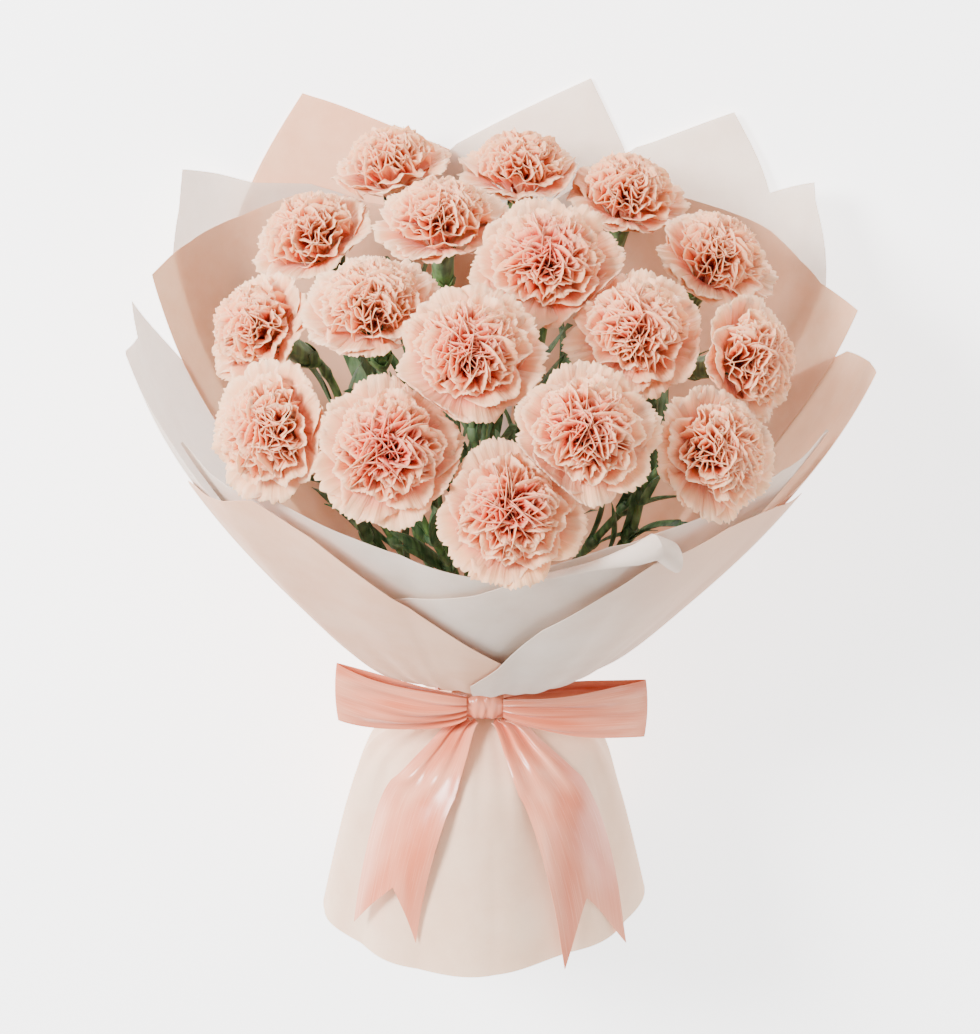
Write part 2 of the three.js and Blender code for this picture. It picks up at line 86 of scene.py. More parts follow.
def colour(text):
    """A colour written as on a paint chart, in the linear light that materials use."""
    parts = [int(text[i:i + 2], 16) / 255 for i in (0, 2, 4)]
    return (*[p / 12.92 if p <= 0.04045 else ((p + 0.055) / 1.055) ** 2.4 for p in parts], 1)


class Value:
    """A socket of a node tree. Its operators add Math nodes, so that a formula reads as one."""

    def __init__(self, tree, socket=None):
        self.tree, self.socket = tree, socket

    def node(self, kind, sockets=None, out=0, stops=None, **settings):
        """Adds a node: its settings first, then the values or links of its sockets."""
        added = self.tree.nodes.new(kind)
        for setting, value in settings.items():
            setattr(added, setting, value)
        if stops:
            ramp = added.color_ramp.elements
            while len(ramp) < len(stops):
                ramp.new(1)
            for element, (place, shade) in zip(ramp, stops):
                element.position, element.color = place, shade
        for place, given in (sockets or {}).items():
            if isinstance(given, Value):
                self.tree.links.new(given.socket, added.inputs[place])
            else:
                added.inputs[place].default_value = given
        return Value(self.tree, added.outputs[out]) if added.outputs else None

    def math(self, operation, *values):
        return self.node("ShaderNodeMath", dict(enumerate(values)), operation=operation)

    def __add__(self, other):
        return self.math("ADD", self, other)

    def __sub__(self, other):
        return self.math("SUBTRACT", self, other)

    def __rsub__(self, other):
        return self.math("SUBTRACT", other, self)

    def __mul__(self, other):
        return self.math("MULTIPLY", self, other)

    def __truediv__(self, other):
        return self.math("DIVIDE", self, other)

    def __pow__(self, other):
        return self.math("POWER", self, other)

    __radd__, __rmul__ = __add__, __mul__

    def sin(self):
        return self.math("SINE", self)

    def cos(self):
        return self.math("COSINE", self)

    def ease(self, low, high, start=0, end=1):
        """Goes smoothly from start to end as this goes from low to high."""
        sockets = {0: self, 1: low, 2: high, 3: start, 4: end}
        return self.node("ShaderNodeMapRange", sockets, interpolation_type="SMOOTHSTEP")

    def mix(self, first, second):
        """The colour between two colours, with this as the share of the second."""
        return self.node("ShaderNodeMix", {0: self, 6: first, 7: second}, out=2, data_type="RGBA")


def finish(name, **constant):
    """A new material: its tree to build on, and its shader with these constant settings."""
    material = bpy.data.materials.new(name)
    material.use_nodes = True
    shader = material.node_tree.nodes["Principled BSDF"]
    for socket, value in constant.items():
        shader.inputs[socket.replace("_", " ").title().replace("Ior", "IOR")].default_value = value
    return material, Value(material.node_tree), shader


def coat(start, shader, **varying):
    """Links what varies over the surface to the shader's sockets."""
    for socket, value in varying.items():
        start.tree.links.new(value.socket, shader.inputs[socket.replace("_", " ").title()])


def noise(start, vector, scale, detail=3, roughness=0.5):
    sockets = {"Vector": vector, "Scale": scale, "Detail": detail, "Roughness": roughness}
    return start.node("ShaderNodeTexNoise", sockets)


def stretched(start, vector, *scale):
    return start.node("ShaderNodeMapping", {"Vector": vector, "Scale": scale})


def bump(start, height, strength, distance, normal=None):
    sockets = {"Height": height, "Strength": strength, "Distance": distance}
    if normal:
        sockets["Normal"] = normal
    return start.node("ShaderNodeBump", sockets)


def green_skin(name, dark, light, bloomy, wax):
    """Stem or leaf: green with paler streaks along it and a waxy grey bloom in patches."""
    material, start, shader = finish(name, specular_ior_level=0.4, subsurface_weight=0.06)
    shader.inputs["Subsurface Radius"].default_value = (0.0015, 0.003, 0.001)
    place = start.node("ShaderNodeTexCoord", out="Object")
    along = stretched(start, place, 420, 30, 420)
    streak = noise(start, along, 1, 4).ease(0.35, 0.7)
    patch = noise(start, place, 60, 4).ease(0.42, 0.68)
    green = streak.mix(colour(dark), colour(light))
    green = (patch * wax).mix(green, colour(bloomy))
    relief = bump(start, streak, 0.35, 0.0003)
    coat(start, shader, base_color=green, roughness=0.42 + patch * 0.25, normal=relief)
    return material


STEM_SKIN = green_skin("stem green", "2F4726", "587A41", "8FA58A", 0.35)


def made(name, points, faces, material, uv=None):
    """A mesh object from points and faces, turned so that its faces point outwards."""
    mesh = bpy.data.meshes.new(name)
    points = np.asarray(points, float).reshape(-1, 3)
    mesh.from_pydata(points.tolist(), [], [list(map(int, face)) for face in faces])
    mesh.update()
    mesh.calc_loop_triangles()
    corners = np.empty(len(mesh.loop_triangles) * 3, int)
    mesh.loop_triangles.foreach_get("vertices", corners)
    a, b, c = points[corners.reshape(-1, 3)].transpose(1, 0, 2)
    if (a * np.cross(b, c)).sum() < 0:
        mesh.flip_normals()
    if uv is not None:
        layer = mesh.uv_layers.new(name="along and across")
        ends = np.empty(len(mesh.loops), int)
        mesh.loops.foreach_get("vertex_index", ends)
        layer.data.foreach_set("uv", np.asarray(uv, float).reshape(-1, 2)[ends].ravel())
    mesh.shade_smooth()
    mesh.set_sharp_from_angle(angle=math.radians(50))
    mesh.materials.append(material)
    piece = bpy.data.objects.new(name, mesh)
    bpy.context.scene.collection.objects.link(piece)
    return piece


def joined(name, parts):
    """Several mesh objects as one."""
    combined = bmesh.new()
    for part in parts:
        combined.from_mesh(part.data)
    piece = parts[0]
    combined.to_mesh(piece.data)
    combined.free()
    for part in parts[1:]:
        bpy.data.objects.remove(part)
    piece.name = name
    return piece


def stem_line(node):
    """The middle of each ring of a stem's CAD solid, from its cut foot to the flower."""
    solid = bmesh.new()
    solid.from_mesh(nodes[node].data)
    bmesh.ops.remove_doubles(solid, verts=solid.verts, dist=1e-6)
    solid.normal_update()
    ends = [v for v in solid.verts
            if min(f.normal.dot(v.link_faces[0].normal) for f in v.link_faces) > 0.9999]
    foot = min(ends, key=lambda v: v.co.y)
    ring, reached, middles = {foot}, {foot}, []
    while ring:
        ring = {e.other_vert(v) for v in ring for e in v.link_edges} - reached
        reached |= ring
        if len(ring) > 1:
            middles.append(np.mean([v.co for v in ring], axis=0))
    solid.free()
    return np.array(middles)


def ring_faces(rings, sides, first=0):
    """Quads between rings of points, one after another."""
    faces = []
    for k in range(rings - 1):
        for i in range(sides):
            a, b = first + k * sides + i, first + k * sides + (i + 1) % sides
            faces.append((a, b, b + sides, a + sides))
    return faces


def square_to(way):
    """Two directions square to a way and to each other."""
    way = way / np.linalg.norm(way)
    side = np.cross(way, (1, 0, 0) if abs(way[0]) < 0.9 else (0, 1, 0))
    side /= np.linalg.norm(side)
    return side, np.cross(way, side)


def calyx_piece(name, foot, way, material):
    """The cup that holds the petals: turned, with five pointed sepals for a rim."""
    turn = np.arange(CALYX_SIDES) * 2 * math.pi / CALYX_SIDES
    tooth = np.abs(1 - 2 * ((turn * 5 / (2 * math.pi)) % 1))
    side, other = square_to(way)
    points = [foot + CALYX_PROFILE[0][1] * way]
    for radius, height, share in CALYX_PROFILE[1:-1]:
        ribs = 1 + 0.03 * np.cos(turn * 10)
        ring = (np.outer(np.cos(turn), side) + np.outer(np.sin(turn), other)) * radius * ribs[:, None]
        points.extend(foot + ring + np.outer(height + share * SEPAL_TOOTH * tooth, way))
    points.append(foot + CALYX_PROFILE[-1][1] * way)
    rings, last = len(CALYX_PROFILE) - 2, len(points) - 1
    faces = ring_faces(rings, CALYX_SIDES, 1)
    for i in range(CALYX_SIDES):
        n, top = (i + 1) % CALYX_SIDES, 1 + (rings - 1) * CALYX_SIDES
        faces += [(0, 1 + n, 1 + i), (last, top + i, top + n)]
    return made(name, points, faces, material)


def scales_piece(name, foot, way, material):
    """The two pairs of small pointed scales that clasp the foot of the calyx."""
    sides, rows = 32, [(0.0024, -0.0018, 0), (0.0040, 0.0012, 0), (0.0057, 0.004, 0.35),
                       (0.0064, 0.006, 1), (0.0060, 0.006, 1), (0.0050, 0.0035, 0.3)]
    turn = np.arange(sides) * 2 * math.pi / sides
    tooth = np.abs(1 - 2 * ((turn * 4 / (2 * math.pi) + 0.3) % 1))
    side, other = square_to(way)
    points = [foot - 0.0018 * way]
    for radius, height, share in rows:
        ring = (np.outer(np.cos(turn), side) + np.outer(np.sin(turn), other)) * radius
        points.extend(foot + ring + np.outer(height + share * SCALE_TOOTH * tooth, way))
    points.append(foot + 0.003 * way)
    faces = ring_faces(len(rows), sides, 1)
    top = 1 + (len(rows) - 1) * sides
    for i in range(sides):
        n = (i + 1) % sides
        faces += [(0, 1 + n, 1 + i), (len(points) - 1, top + i, top + n)]
    return made(name, points, faces, material)


def stem_tree():
    """Geometry Nodes that turn a line into a stalk with swollen joints."""
    tree = bpy.data.node_groups.new("stalk", "GeometryNodeTree")
    tree.interface.new_socket("Line", in_out="INPUT", socket_type="NodeSocketGeometry")
    for name in ("Radius", "Joint spacing", "Joint swelling", "First joint"):
        tree.interface.new_socket(name, in_out="INPUT", socket_type="NodeSocketFloat")
    tree.interface.new_socket("Skin", in_out="INPUT", socket_type="NodeSocketMaterial")
    tree.interface.new_socket("Stalk", in_out="OUTPUT", socket_type="NodeSocketGeometry")
    start = Value(tree)
    given = start.node("NodeGroupInput")
    inputs = {s.name: Value(tree, s) for s in given.socket.node.outputs}
    line = start.node("GeometryNodeCurveSplineType", {"Curve": inputs["Line"]}, spline_type="CATMULL_ROM")
    line = start.node("GeometryNodeResampleCurve", {"Curve": line, "Length": STEM_STEP}, mode="LENGTH")
    along = start.node("GeometryNodeSplineParameter", out="Length")
    spacing = inputs["Joint spacing"]
    nearest = (along - inputs["First joint"]).math("PINGPONG", along - inputs["First joint"], spacing * 0.5)
    swelling = nearest.ease(0.0005, 0.0045, 1, 0) * inputs["Joint swelling"]
    radius = inputs["Radius"] + swelling
    ring = start.node("GeometryNodeCurvePrimitiveCircle", {"Resolution": STEM_SIDES, "Radius": 1.0})
    sockets = {"Curve": line, "Profile Curve": ring, "Scale": radius, "Fill Caps": True}
    tube = start.node("GeometryNodeCurveToMesh", sockets)
    tube = start.node("GeometryNodeSetMaterial", {"Geometry": tube, "Material": inputs["Skin"]})
    tube = start.node("GeometryNodeRealizeInstances", {"Geometry": tube})
    start.node("NodeGroupOutput", {"Stalk": tube})
    return tree


def grown(name, source, tree, **values):
    """What a tree makes of an object's geometry, as plain mesh data."""
    modifier = source.modifiers.new("grown", "NODES")
    modifier.node_group = tree
    for item in tree.interface.items_tree:
        if item.in_out == "INPUT" and item.name in values:
            modifier[item.identifier] = values[item.name]
    shape = source.evaluated_get(bpy.context.evaluated_depsgraph_get())
    mesh = bpy.data.meshes.new_from_object(shape)
    source.modifiers.remove(modifier)
    mesh.name = name
    return mesh


def line_object(points):
    curve = bpy.data.curves.new("line", "CURVE")
    curve.dimensions = "3D"
    spline = curve.splines.new("POLY")
    spline.points.add(len(points) - 1)
    for place, point in zip(spline.points, points):
        place.co = (*point, 1)
    line = bpy.data.objects.new("line", curve)
    bpy.context.scene.collection.objects.link(line)
    return line


STEM_COUNT = 17
STALK = stem_tree()
stem_lines = [stem_line(f"stem_{i + 1:02d}") for i in range(STEM_COUNT)]
for i, middles in enumerate(stem_lines):
    way = middles[-1] - middles[-3]
    way /= np.linalg.norm(way)
    foot = middles[-1] - CALYX_LENGTH * way
    stalk = [p for p in middles if (p - foot) @ way < -0.002] + [foot + 0.001 * way]
    line = line_object(stalk)
    mesh = grown("stalk", line, STALK, **{
        "Radius": STEM_RADIUS, "Joint spacing": STEM_JOINT_SPACING, "Joint swelling": STEM_JOINT_SWELLING,
        "First joint": 0.011 + 0.0065 * (i % 5), "Skin": STEM_SKIN})
    bpy.data.objects.remove(line)
    tube = bpy.data.objects.new("tube", mesh)
    bpy.context.scene.collection.objects.link(tube)
    mesh.shade_smooth()
    mesh.set_sharp_from_angle(angle=math.radians(60))
    stem = joined(f"stalk_and_calyx_{i + 1:02d}", [
        tube, calyx_piece("calyx", foot, way, STEM_SKIN), scales_piece("scales", foot, way, STEM_SKIN)])
    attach(stem, "root")
    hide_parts(f"stem_{i + 1:02d}")

# Leaves: narrow, waxy, grey-green blades in pairs, each pair growing from one sheath that clasps
# the stem at a joint. They are keeled along the middle and curl away at their tips.
LEAF_WIDTH = 0.0065
LEAF_THICKNESS = 0.0007
LEAF_PAIRS = [  # the flower on whose stem it grows, its height over the tie, turn and length
    (4, 0.150, 20, 0.052), (7, 0.140, 70, 0.056), (9, 0.150, 100, 0.050),
    (12, 0.140, 60, 0.054), (14, 0.096, 100, 0.046), (16, 0.110, 40, 0.050),
]
LEAF_SKIN = green_skin("leaf green", "2C4A2C", "527348", "8CA382", 0.35)


def sheet_points(middle, thickness, closed=False):
    """The two faces of a sheet, given the rows and columns of points of its middle."""
    if closed:
        wrapped = np.concatenate([middle[:, -1:], middle, middle[:, :1]], axis=1)
        across = (wrapped[:, 2:] - wrapped[:, :-2])
    else:
        across = np.gradient(middle, axis=1)
    normal = np.cross(across, np.gradient(middle, axis=0))
    normal /= np.linalg.norm(normal, axis=2, keepdims=True) + 1e-12
    half = normal * np.broadcast_to(np.asarray(thickness) / 2, middle.shape[:2])[..., None]
    return np.concatenate([(middle + half).reshape(-1, 3), (middle - half).reshape(-1, 3)])


def sheet_faces(rows, columns, closed=False):
    """Faces of a thin closed sheet: its two sides and the rim that joins them."""
    faces, back = [], rows * columns
    for j in range(rows - 1):
        for i in range(columns if closed else columns - 1):
            a, b = j * columns + i, j * columns + (i + 1) % columns
            c, d = b + columns, a + columns
            faces += [(a, b, c, d), (back + d, back + c, back + b, back + a)]
    rim = [(i + 1) % columns if closed else i + 1 for i in range(columns if closed else columns - 1)]
    for i, n in enumerate(rim):
        top, topn = (rows - 1) * columns + i, (rows - 1) * columns + n
        faces += [(n, i, back + i, back + n), (top, topn, back + topn, back + top)]
    if not closed:
        for j in range(rows - 1):
            a, d = j * columns, (j + 1) * columns
            e, f = a + columns - 1, d + columns - 1
            faces += [(a, d, back + d, back + a), (f, e, back + e, back + f)]
    return faces


def sheet_piece(name, middle, thickness, material, uv=None, closed=False):
    """A thin closed sheet as a piece, with its measures across and along as its UV map."""
    rows, columns = middle.shape[:2]
    if uv is not None:
        uv = np.concatenate([uv.reshape(-1, 2)] * 2)
    points = sheet_points(middle, thickness, closed)
    return made(name, points, sheet_faces(rows, columns, closed), material, uv)


def turned_about(vector, axis, angle):
    return (vector * math.cos(angle) + np.cross(axis, vector) * math.sin(angle)
            + axis * (axis @ vector) * (1 - math.cos(angle)))


def leaf_pair(stem, height, turn, length, breadth=LEAF_WIDTH):
    """Two blades and the sheath they grow from, on a stem at a height over the tie."""
    middles = stem_lines[stem - 1]
    heights = (middles - TIE) @ AXIS
    step = int(np.searchsorted(heights, height))
    share = (height - heights[step - 1]) / (heights[step] - heights[step - 1])
    way = middles[step] - middles[step - 1]
    foot = middles[step - 1] + share * way
    way /= np.linalg.norm(way)
    side = np.cross((1, 0, 0), way)
    side = turned_about(side / np.linalg.norm(side), way, math.radians(turn))
    other = np.cross(way, side)
    parts = []
    for facing in (1, -1):
        along, across = np.meshgrid(np.linspace(0, 1, 26), np.linspace(-1, 1, 9), indexing="ij")
        width = breadth * (0.3 + 0.7 * np.sin(math.pi * np.minimum(1, 0.25 + along * 0.74)))
        width *= np.clip((1 - along) / 0.25, 0.06, 1) ** 0.5
        out = STEM_RADIUS + length * (0.1 * along + 0.3 * along ** 2)
        out = out + 0.0016 * across ** 2 * np.sin(math.pi * along) - 0.0004 * np.cos(6 * along + stem)
        rise = 0.001 + length * along * (1 - 0.12 * along)
        twist = 0.0025 * along ** 2 * math.sin(2.1 * stem + facing)
        middle = (foot + rise[..., None] * way + (facing * (out + twist * across))[..., None] * side
                  + (across * width / 2)[..., None] * other)
        uv = np.stack([across * breadth / 2, along * length], axis=-1)
        thickness = LEAF_THICKNESS * (1.3 - across ** 2) * (1 - 0.6 * along)
        parts.append(sheet_piece("blade", middle, thickness, LEAF_SKIN, uv))
    sides = 20
    turns = np.arange(sides) * 2 * math.pi / sides
    ring = np.outer(np.cos(turns), side) + np.outer(np.sin(turns), other)
    profile = [(0.0026, -0.0005), (0.0034, 0.0008), (0.0036, 0.003), (0.0032, 0.0062), (0.0026, 0.007)]
    points = np.concatenate([foot + r * ring + h * way for r, h in profile])
    last = sides * (len(profile) - 1)
    ends = [tuple(range(sides))[::-1], tuple(range(last, last + sides))]
    parts.append(made("sheath", points, ring_faces(len(profile), sides) + ends, LEAF_SKIN))
    return parts


for number, (stem, *shape) in enumerate(LEAF_PAIRS, 1):
    young = leaf_pair(stem, shape[0] + 0.046, shape[1] + 90, 0.6 * shape[2], 0.005)
    pair = joined(f"leaf_pair_{number:02d}", leaf_pair(stem, *shape) + young)
    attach(pair, "root")
    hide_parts(f"leaves_{number:02d}")
bare = sorted(set(range(1, STEM_COUNT + 1)) - {stem for stem, *_ in LEAF_PAIRS})
upper = []
for i, stem in enumerate(bare):
    top = (stem_lines[stem - 1][-1] - TIE) @ AXIS
    upper += leaf_pair(stem, 0.62 * top, 40 + 65 * i, 0.036, 0.0055)
    upper += leaf_pair(stem, 0.42 * top, 130 + 65 * i, 0.046, 0.006)
for stem in range(1, STEM_COUNT + 1):
    top = (stem_lines[stem - 1][-1] - TIE) @ AXIS
    upper += leaf_pair(stem, 0.78 * top, 80 * stem, 0.03, 0.006)
    upper += leaf_pair(stem, 0.66 * top, 80 * stem + 10, 0.045, 0.0085)
    upper += leaf_pair(stem, 0.54 * top, 80 * stem + 45, 0.05, 0.008)
upper = joined("upper_leaves", upper)
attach(upper, "root")

# Flowers: each head is a hundred and twenty petals held by the calyx. A petal is a narrow claw that
# opens into a toothed fan. Ten wide guard petals lie nearly flat, the next ring stands up round them
# like the rim of a bowl, and in it the small folded petals crowd into a dome. Where two heads press,
# petals give way.
GUARD_AND_RIM_PETALS = 22
INNER_PETALS = 98
WIDE_COLUMNS, WIDE_ROWS = 33, 10
SMALL_COLUMNS, SMALL_ROWS = 13, 8
PETAL_THICKNESS = 0.00024
CALYX_DEPTH = 0.0203          # from the widest ring of petals down to the top of the calyx
DOME_HEIGHT = 0.0155
DOME_SHARE = 0.66             # of the head's radius
GOLDEN_ANGLE = 2.39996        # from one petal to the next
GUARD_FAN = 0.43              # half of the angle that a petal spans
RIM_FAN = 0.33
INNER_FAN = 0.17
PRESS_SOFTNESS = 0.003        # where two heads press
PRESS_OVER = 0.6
PRESS_BACK = 0.7
HEAD_GAP = 0.0004


def petal_skin():
    """Petals: pale peach with cream toothed edges, coral where they are deep, veined and soft."""
    material, start, shader = finish(
        "petal", specular_ior_level=0.25, subsurface_weight=0.35, sheen_weight=0.1,
        sheen_roughness=0.5, subsurface_scale=0.6)
    shader.inputs["Subsurface Radius"].default_value = (0.005, 0.002, 0.0014)

    def told(name):
        vector = start.node("ShaderNodeAttribute", {}, out="Vector", attribute_name=name)
        parts = start.node("ShaderNodeSeparateXYZ", {0: vector}).socket.node.outputs
        return [Value(start.tree, part) for part in parts]

    across, along, layer = told("petal")
    chance, blush, _ = told("nature")
    place = start.node("ShaderNodeTexCoord", out="Object")
    fan = start.node("ShaderNodeCombineXYZ", {0: across * 9, 1: along * 1.2, 2: chance * 40})
    vein = noise(start, fan, 1, 3).ease(0.3, 0.7)
    cloud = noise(start, place, 90, 2)
    inner = layer.ease(0.2, 0.5)
    deep = (1 - along.ease(0.55, 0.98)) * (0.45 + blush * 0.75 + inner * 0.2)
    deep = deep + inner * layer.ease(0.3, 1) * blush * 0.7 + (cloud - 0.5) * 0.4 + (vein - 0.5) * 0.12
    body = deep.ease(0.0, 0.9).mix(colour("FCA272"), colour("EC5A44"))
    body = ((1 - inner) * (0.3 + chance * 0.45)).mix(body, colour("FEBA90"))
    edge = along.ease(0.84, 1) * (0.45 - blush * 0.1) * (0.4 + vein * 0.6)
    skin = edge.mix(body, colour("FDD3B4"))
    relief = bump(start, vein, 0.5, 0.0006)
    coat(start, shader, base_color=skin, roughness=0.55 + vein * 0.2, normal=relief)
    return material


PETAL_SKIN = petal_skin()


def head_tree():
    """Geometry Nodes that open a head of petals about +Z, its widest ring level with the origin."""
    tree = bpy.data.node_groups.new("carnation head", "GeometryNodeTree")
    for name in ("Radius", "Depth", "Dome", "Dome share", "Petal thickness", "Ruffle"):
        tree.interface.new_socket(name, in_out="INPUT", socket_type="NodeSocketFloat")
    for name in ("Wide petals", "Inner petals", "Seed"):
        tree.interface.new_socket(name, in_out="INPUT", socket_type="NodeSocketInt")
    tree.interface.new_socket("Skin", in_out="INPUT", socket_type="NodeSocketMaterial")
    tree.interface.new_socket("Head", in_out="OUTPUT", socket_type="NodeSocketGeometry")
    start = Value(tree)
    given = start.node("NodeGroupInput").socket.node
    inputs = {s.name: Value(tree, s) for s in given.outputs}
    radius, depth, dome = (inputs[name] for name in ("Radius", "Depth", "Dome"))
    wide_count, inner_count = inputs["Wide petals"], inputs["Inner petals"]

    def kept(geometry, name, value, kind="FLOAT"):
        sockets = {"Geometry": geometry, "Name": name, "Value": value}
        return start.node("GeometryNodeStoreNamedAttribute", sockets, data_type=kind, domain="POINT")

    def told(name):
        return start.node("GeometryNodeInputNamedAttribute", {"Name": name}, data_type="FLOAT")

    def petals_of(points, columns, rows):
        """A flat sheet for each petal, from -1 to 1 across and from 0 to 1 along."""
        sockets = {"Size X": 2.0, "Size Y": 1.0, "Vertices X": columns, "Vertices Y": rows}
        grid = start.node("GeometryNodeMeshGrid", sockets)
        sheets = start.node("GeometryNodeInstanceOnPoints", {"Points": points, "Instance": grid})
        sheets = start.node("GeometryNodeRealizeInstances", {"Geometry": sheets})
        flat = start.node("GeometryNodeInputPosition")
        parts = flat.node("ShaderNodeSeparateXYZ", {0: flat}).socket.node.outputs
        x, y = Value(tree, parts[0]), Value(tree, parts[1])
        sheets = kept(sheets, "across", x)
        sheets = kept(sheets, "along", (y + 0.5) ** 0.7)
        return kept(sheets, "tooth", (x * ((columns - 1) * math.pi / 2)).cos() * 0.5 + 0.5)

    def joined_geometry(*parts):
        node = tree.nodes.new("GeometryNodeJoinGeometry")
        for part in parts:
            tree.links.new(part.socket, node.inputs[0])
        return Value(tree, node.outputs[0])

    index = start.node("GeometryNodeInputIndex")
    flocks = []
    for count, first, columns, rows in ((wide_count, 0, WIDE_COLUMNS, WIDE_ROWS),
                                        (inner_count, wide_count, SMALL_COLUMNS, SMALL_ROWS)):
        points = start.node("GeometryNodePoints", {"Count": count})
        points = kept(points, "number", index + first)
        points = kept(points, "share", index / count)
        for extra, name in enumerate(("chance a", "chance b", "chance c")):
            sockets = {"ID": index + first, "Seed": inputs["Seed"] + extra}
            chance = start.node("FunctionNodeRandomValue", sockets, out=1, data_type="FLOAT")
            points = kept(points, name, chance)
        flocks.append(kept(petals_of(points, columns, rows), "inner", 0.0 if first == 0 else 1.0))
    petals = joined_geometry(*flocks)

    number, share, inner = (told(name) for name in ("number", "share", "inner"))
    across, along, tooth = (told(name) for name in ("across", "along", "tooth"))
    a, b, c = (told(name) for name in ("chance a", "chance b", "chance c"))
    outer = 1 - inner
    rim = share.ease(0.35, 0.75) * outer

    # where a petal's tip is: the guards at the head's radius, the rim round the dome, and the
    # small ones all over the dome, which dips in the middle
    inner_out = (1 - share) ** 0.5 * (inputs["Dome share"] * radius) + 0.0008
    wide_out = radius * (1.06 - 0.33 * rim + 0.06 * (a - 0.5))
    tip_out = wide_out * outer + inner_out * inner
    hollow = (1 - inner_out.ease(0, 0.007)) * 0.0012
    inner_up = dome * (0.62 + 0.42 * share.ease(0, 0.7)) - hollow + (b - 0.5) * 0.0032
    wide_up = rim * (dome * 0.52) + (b - 0.5) * 0.0035 - 0.0006
    tip_up = wide_up * outer + inner_up * inner
    foot_out = 0.0042 - inner * 0.0030
    bend_out = tip_out * 0.12 + 0.0062 - inner * 0.0035
    bend_up = (rim * 0.0035 - 0.0045) * outer + inner * 0.001

    # the fan, with its rounded, lobed and toothed edge
    fan = (GUARD_FAN - (GUARD_FAN - RIM_FAN) * rim) * outer + (INNER_FAN + 0.07 * c) * inner
    angle = across * fan * along.ease(0.1, 0.75, 0.35, 1)
    speck = start.node("ShaderNodeCombineXYZ", {0: across * (3 + 4 * outer), 1: a * 31, 2: number * 1.7})
    lobe = noise(start, speck, 1, 1)
    edge = along.ease(0.72, 1)
    bite = tooth * (0.004 + 0.03 * lobe) + (lobe - 0.4) * 0.13 + across ** 4 * (0.36 - 0.12 * inner)
    reach = along * angle.cos() * (1 - edge * bite)
    rest = 1 - reach
    out = rest * rest * foot_out + reach * rest * 2 * bend_out + reach * reach * tip_out
    up = rest * rest * (0 - depth) + reach * rest * 2 * bend_up + reach * reach * tip_up
    way_out = rest * (bend_out - foot_out) + reach * (tip_out - bend_out)
    way_up = rest * (bend_up + depth) + reach * (tip_up - bend_up)
    size = (way_out * way_out + way_up * way_up) ** 0.5
    length = (tip_out * tip_out + (tip_up + depth) * (tip_up + depth)) ** 0.5

    # ruffles stand square to the petal: shallow on the guards, sharp folds on the small ones
    wave_height = 0.0012 * outer + 0.0008 * rim + 0.0013 * inner
    wave = (across * (4.6 + 2.5 * rim) + a * 20).sin() * wave_height
    fine = (across * (15 + 6 * c) + b * 20 + along * 3).sin() * (0.00032 * outer + 0.0002 * inner)
    crumple = start.node("ShaderNodeCombineXYZ", {0: across * 1.5, 1: along * 1.3, 2: number * 3.1 + a})
    crumple = (noise(start, crumple, 1, 2) - 0.5) * (0.005 + 0.006 * inner)
    fold = (across * across + 0.02) ** 0.5
    cup = fold * (0.0060 * c.ease(0.3, 0.5, -1, 1)) * inner
    cup = cup + across * across * 0.005 * (rim + (c - 0.6) * outer)
    curl = edge * (b - 0.4) * (0.0042 * outer + 0.003 * inner)
    twist = ((a - 0.5) * 2.6 + (c - 0.5).math("SIGN", c - 0.5) * 0.5) * inner
    rise = (wave + fine + crumple + cup) * inputs["Ruffle"] * along.ease(0.3, 0.95) - curl
    side = length * along * angle.sin()
    rise = rise + side * twist.sin()
    side = side * twist.cos()
    out = out - way_up / size * rise
    up = up + way_out / size * rise
    turn = number * GOLDEN_ANGLE + (c - 0.5) * 0.4
    sockets = {0: out * turn.cos() - side * turn.sin(), 1: out * turn.sin() + side * turn.cos(), 2: up}
    place = start.node("ShaderNodeCombineXYZ", sockets)
    petals = start.node("GeometryNodeSetPosition", {"Geometry": petals, "Position": place})

    layer = (share * 0.3) * outer + (0.4 + share * 0.6) * inner
    on_petal = start.node("ShaderNodeCombineXYZ", {0: across, 1: along, 2: layer})
    petals = kept(petals, "petal", on_petal, "FLOAT_VECTOR")
    back = start.node("GeometryNodeFlipFaces", {"Mesh": petals})
    sockets = {"Mesh": petals, "Offset Scale": inputs["Petal thickness"], "Individual": False}
    front = start.node("GeometryNodeExtrudeMesh", sockets, mode="FACES")
    head = joined_geometry(front, back)
    head = start.node("GeometryNodeMergeByDistance", {"Geometry": head, "Distance": 1e-7})
    head = start.node("GeometryNodeSetMaterial", {"Geometry": head, "Material": inputs["Skin"]})
    head = start.node("GeometryNodeRealizeInstances", {"Geometry": head})
    start.node("NodeGroupOutput", {"Head": head})
    return tree


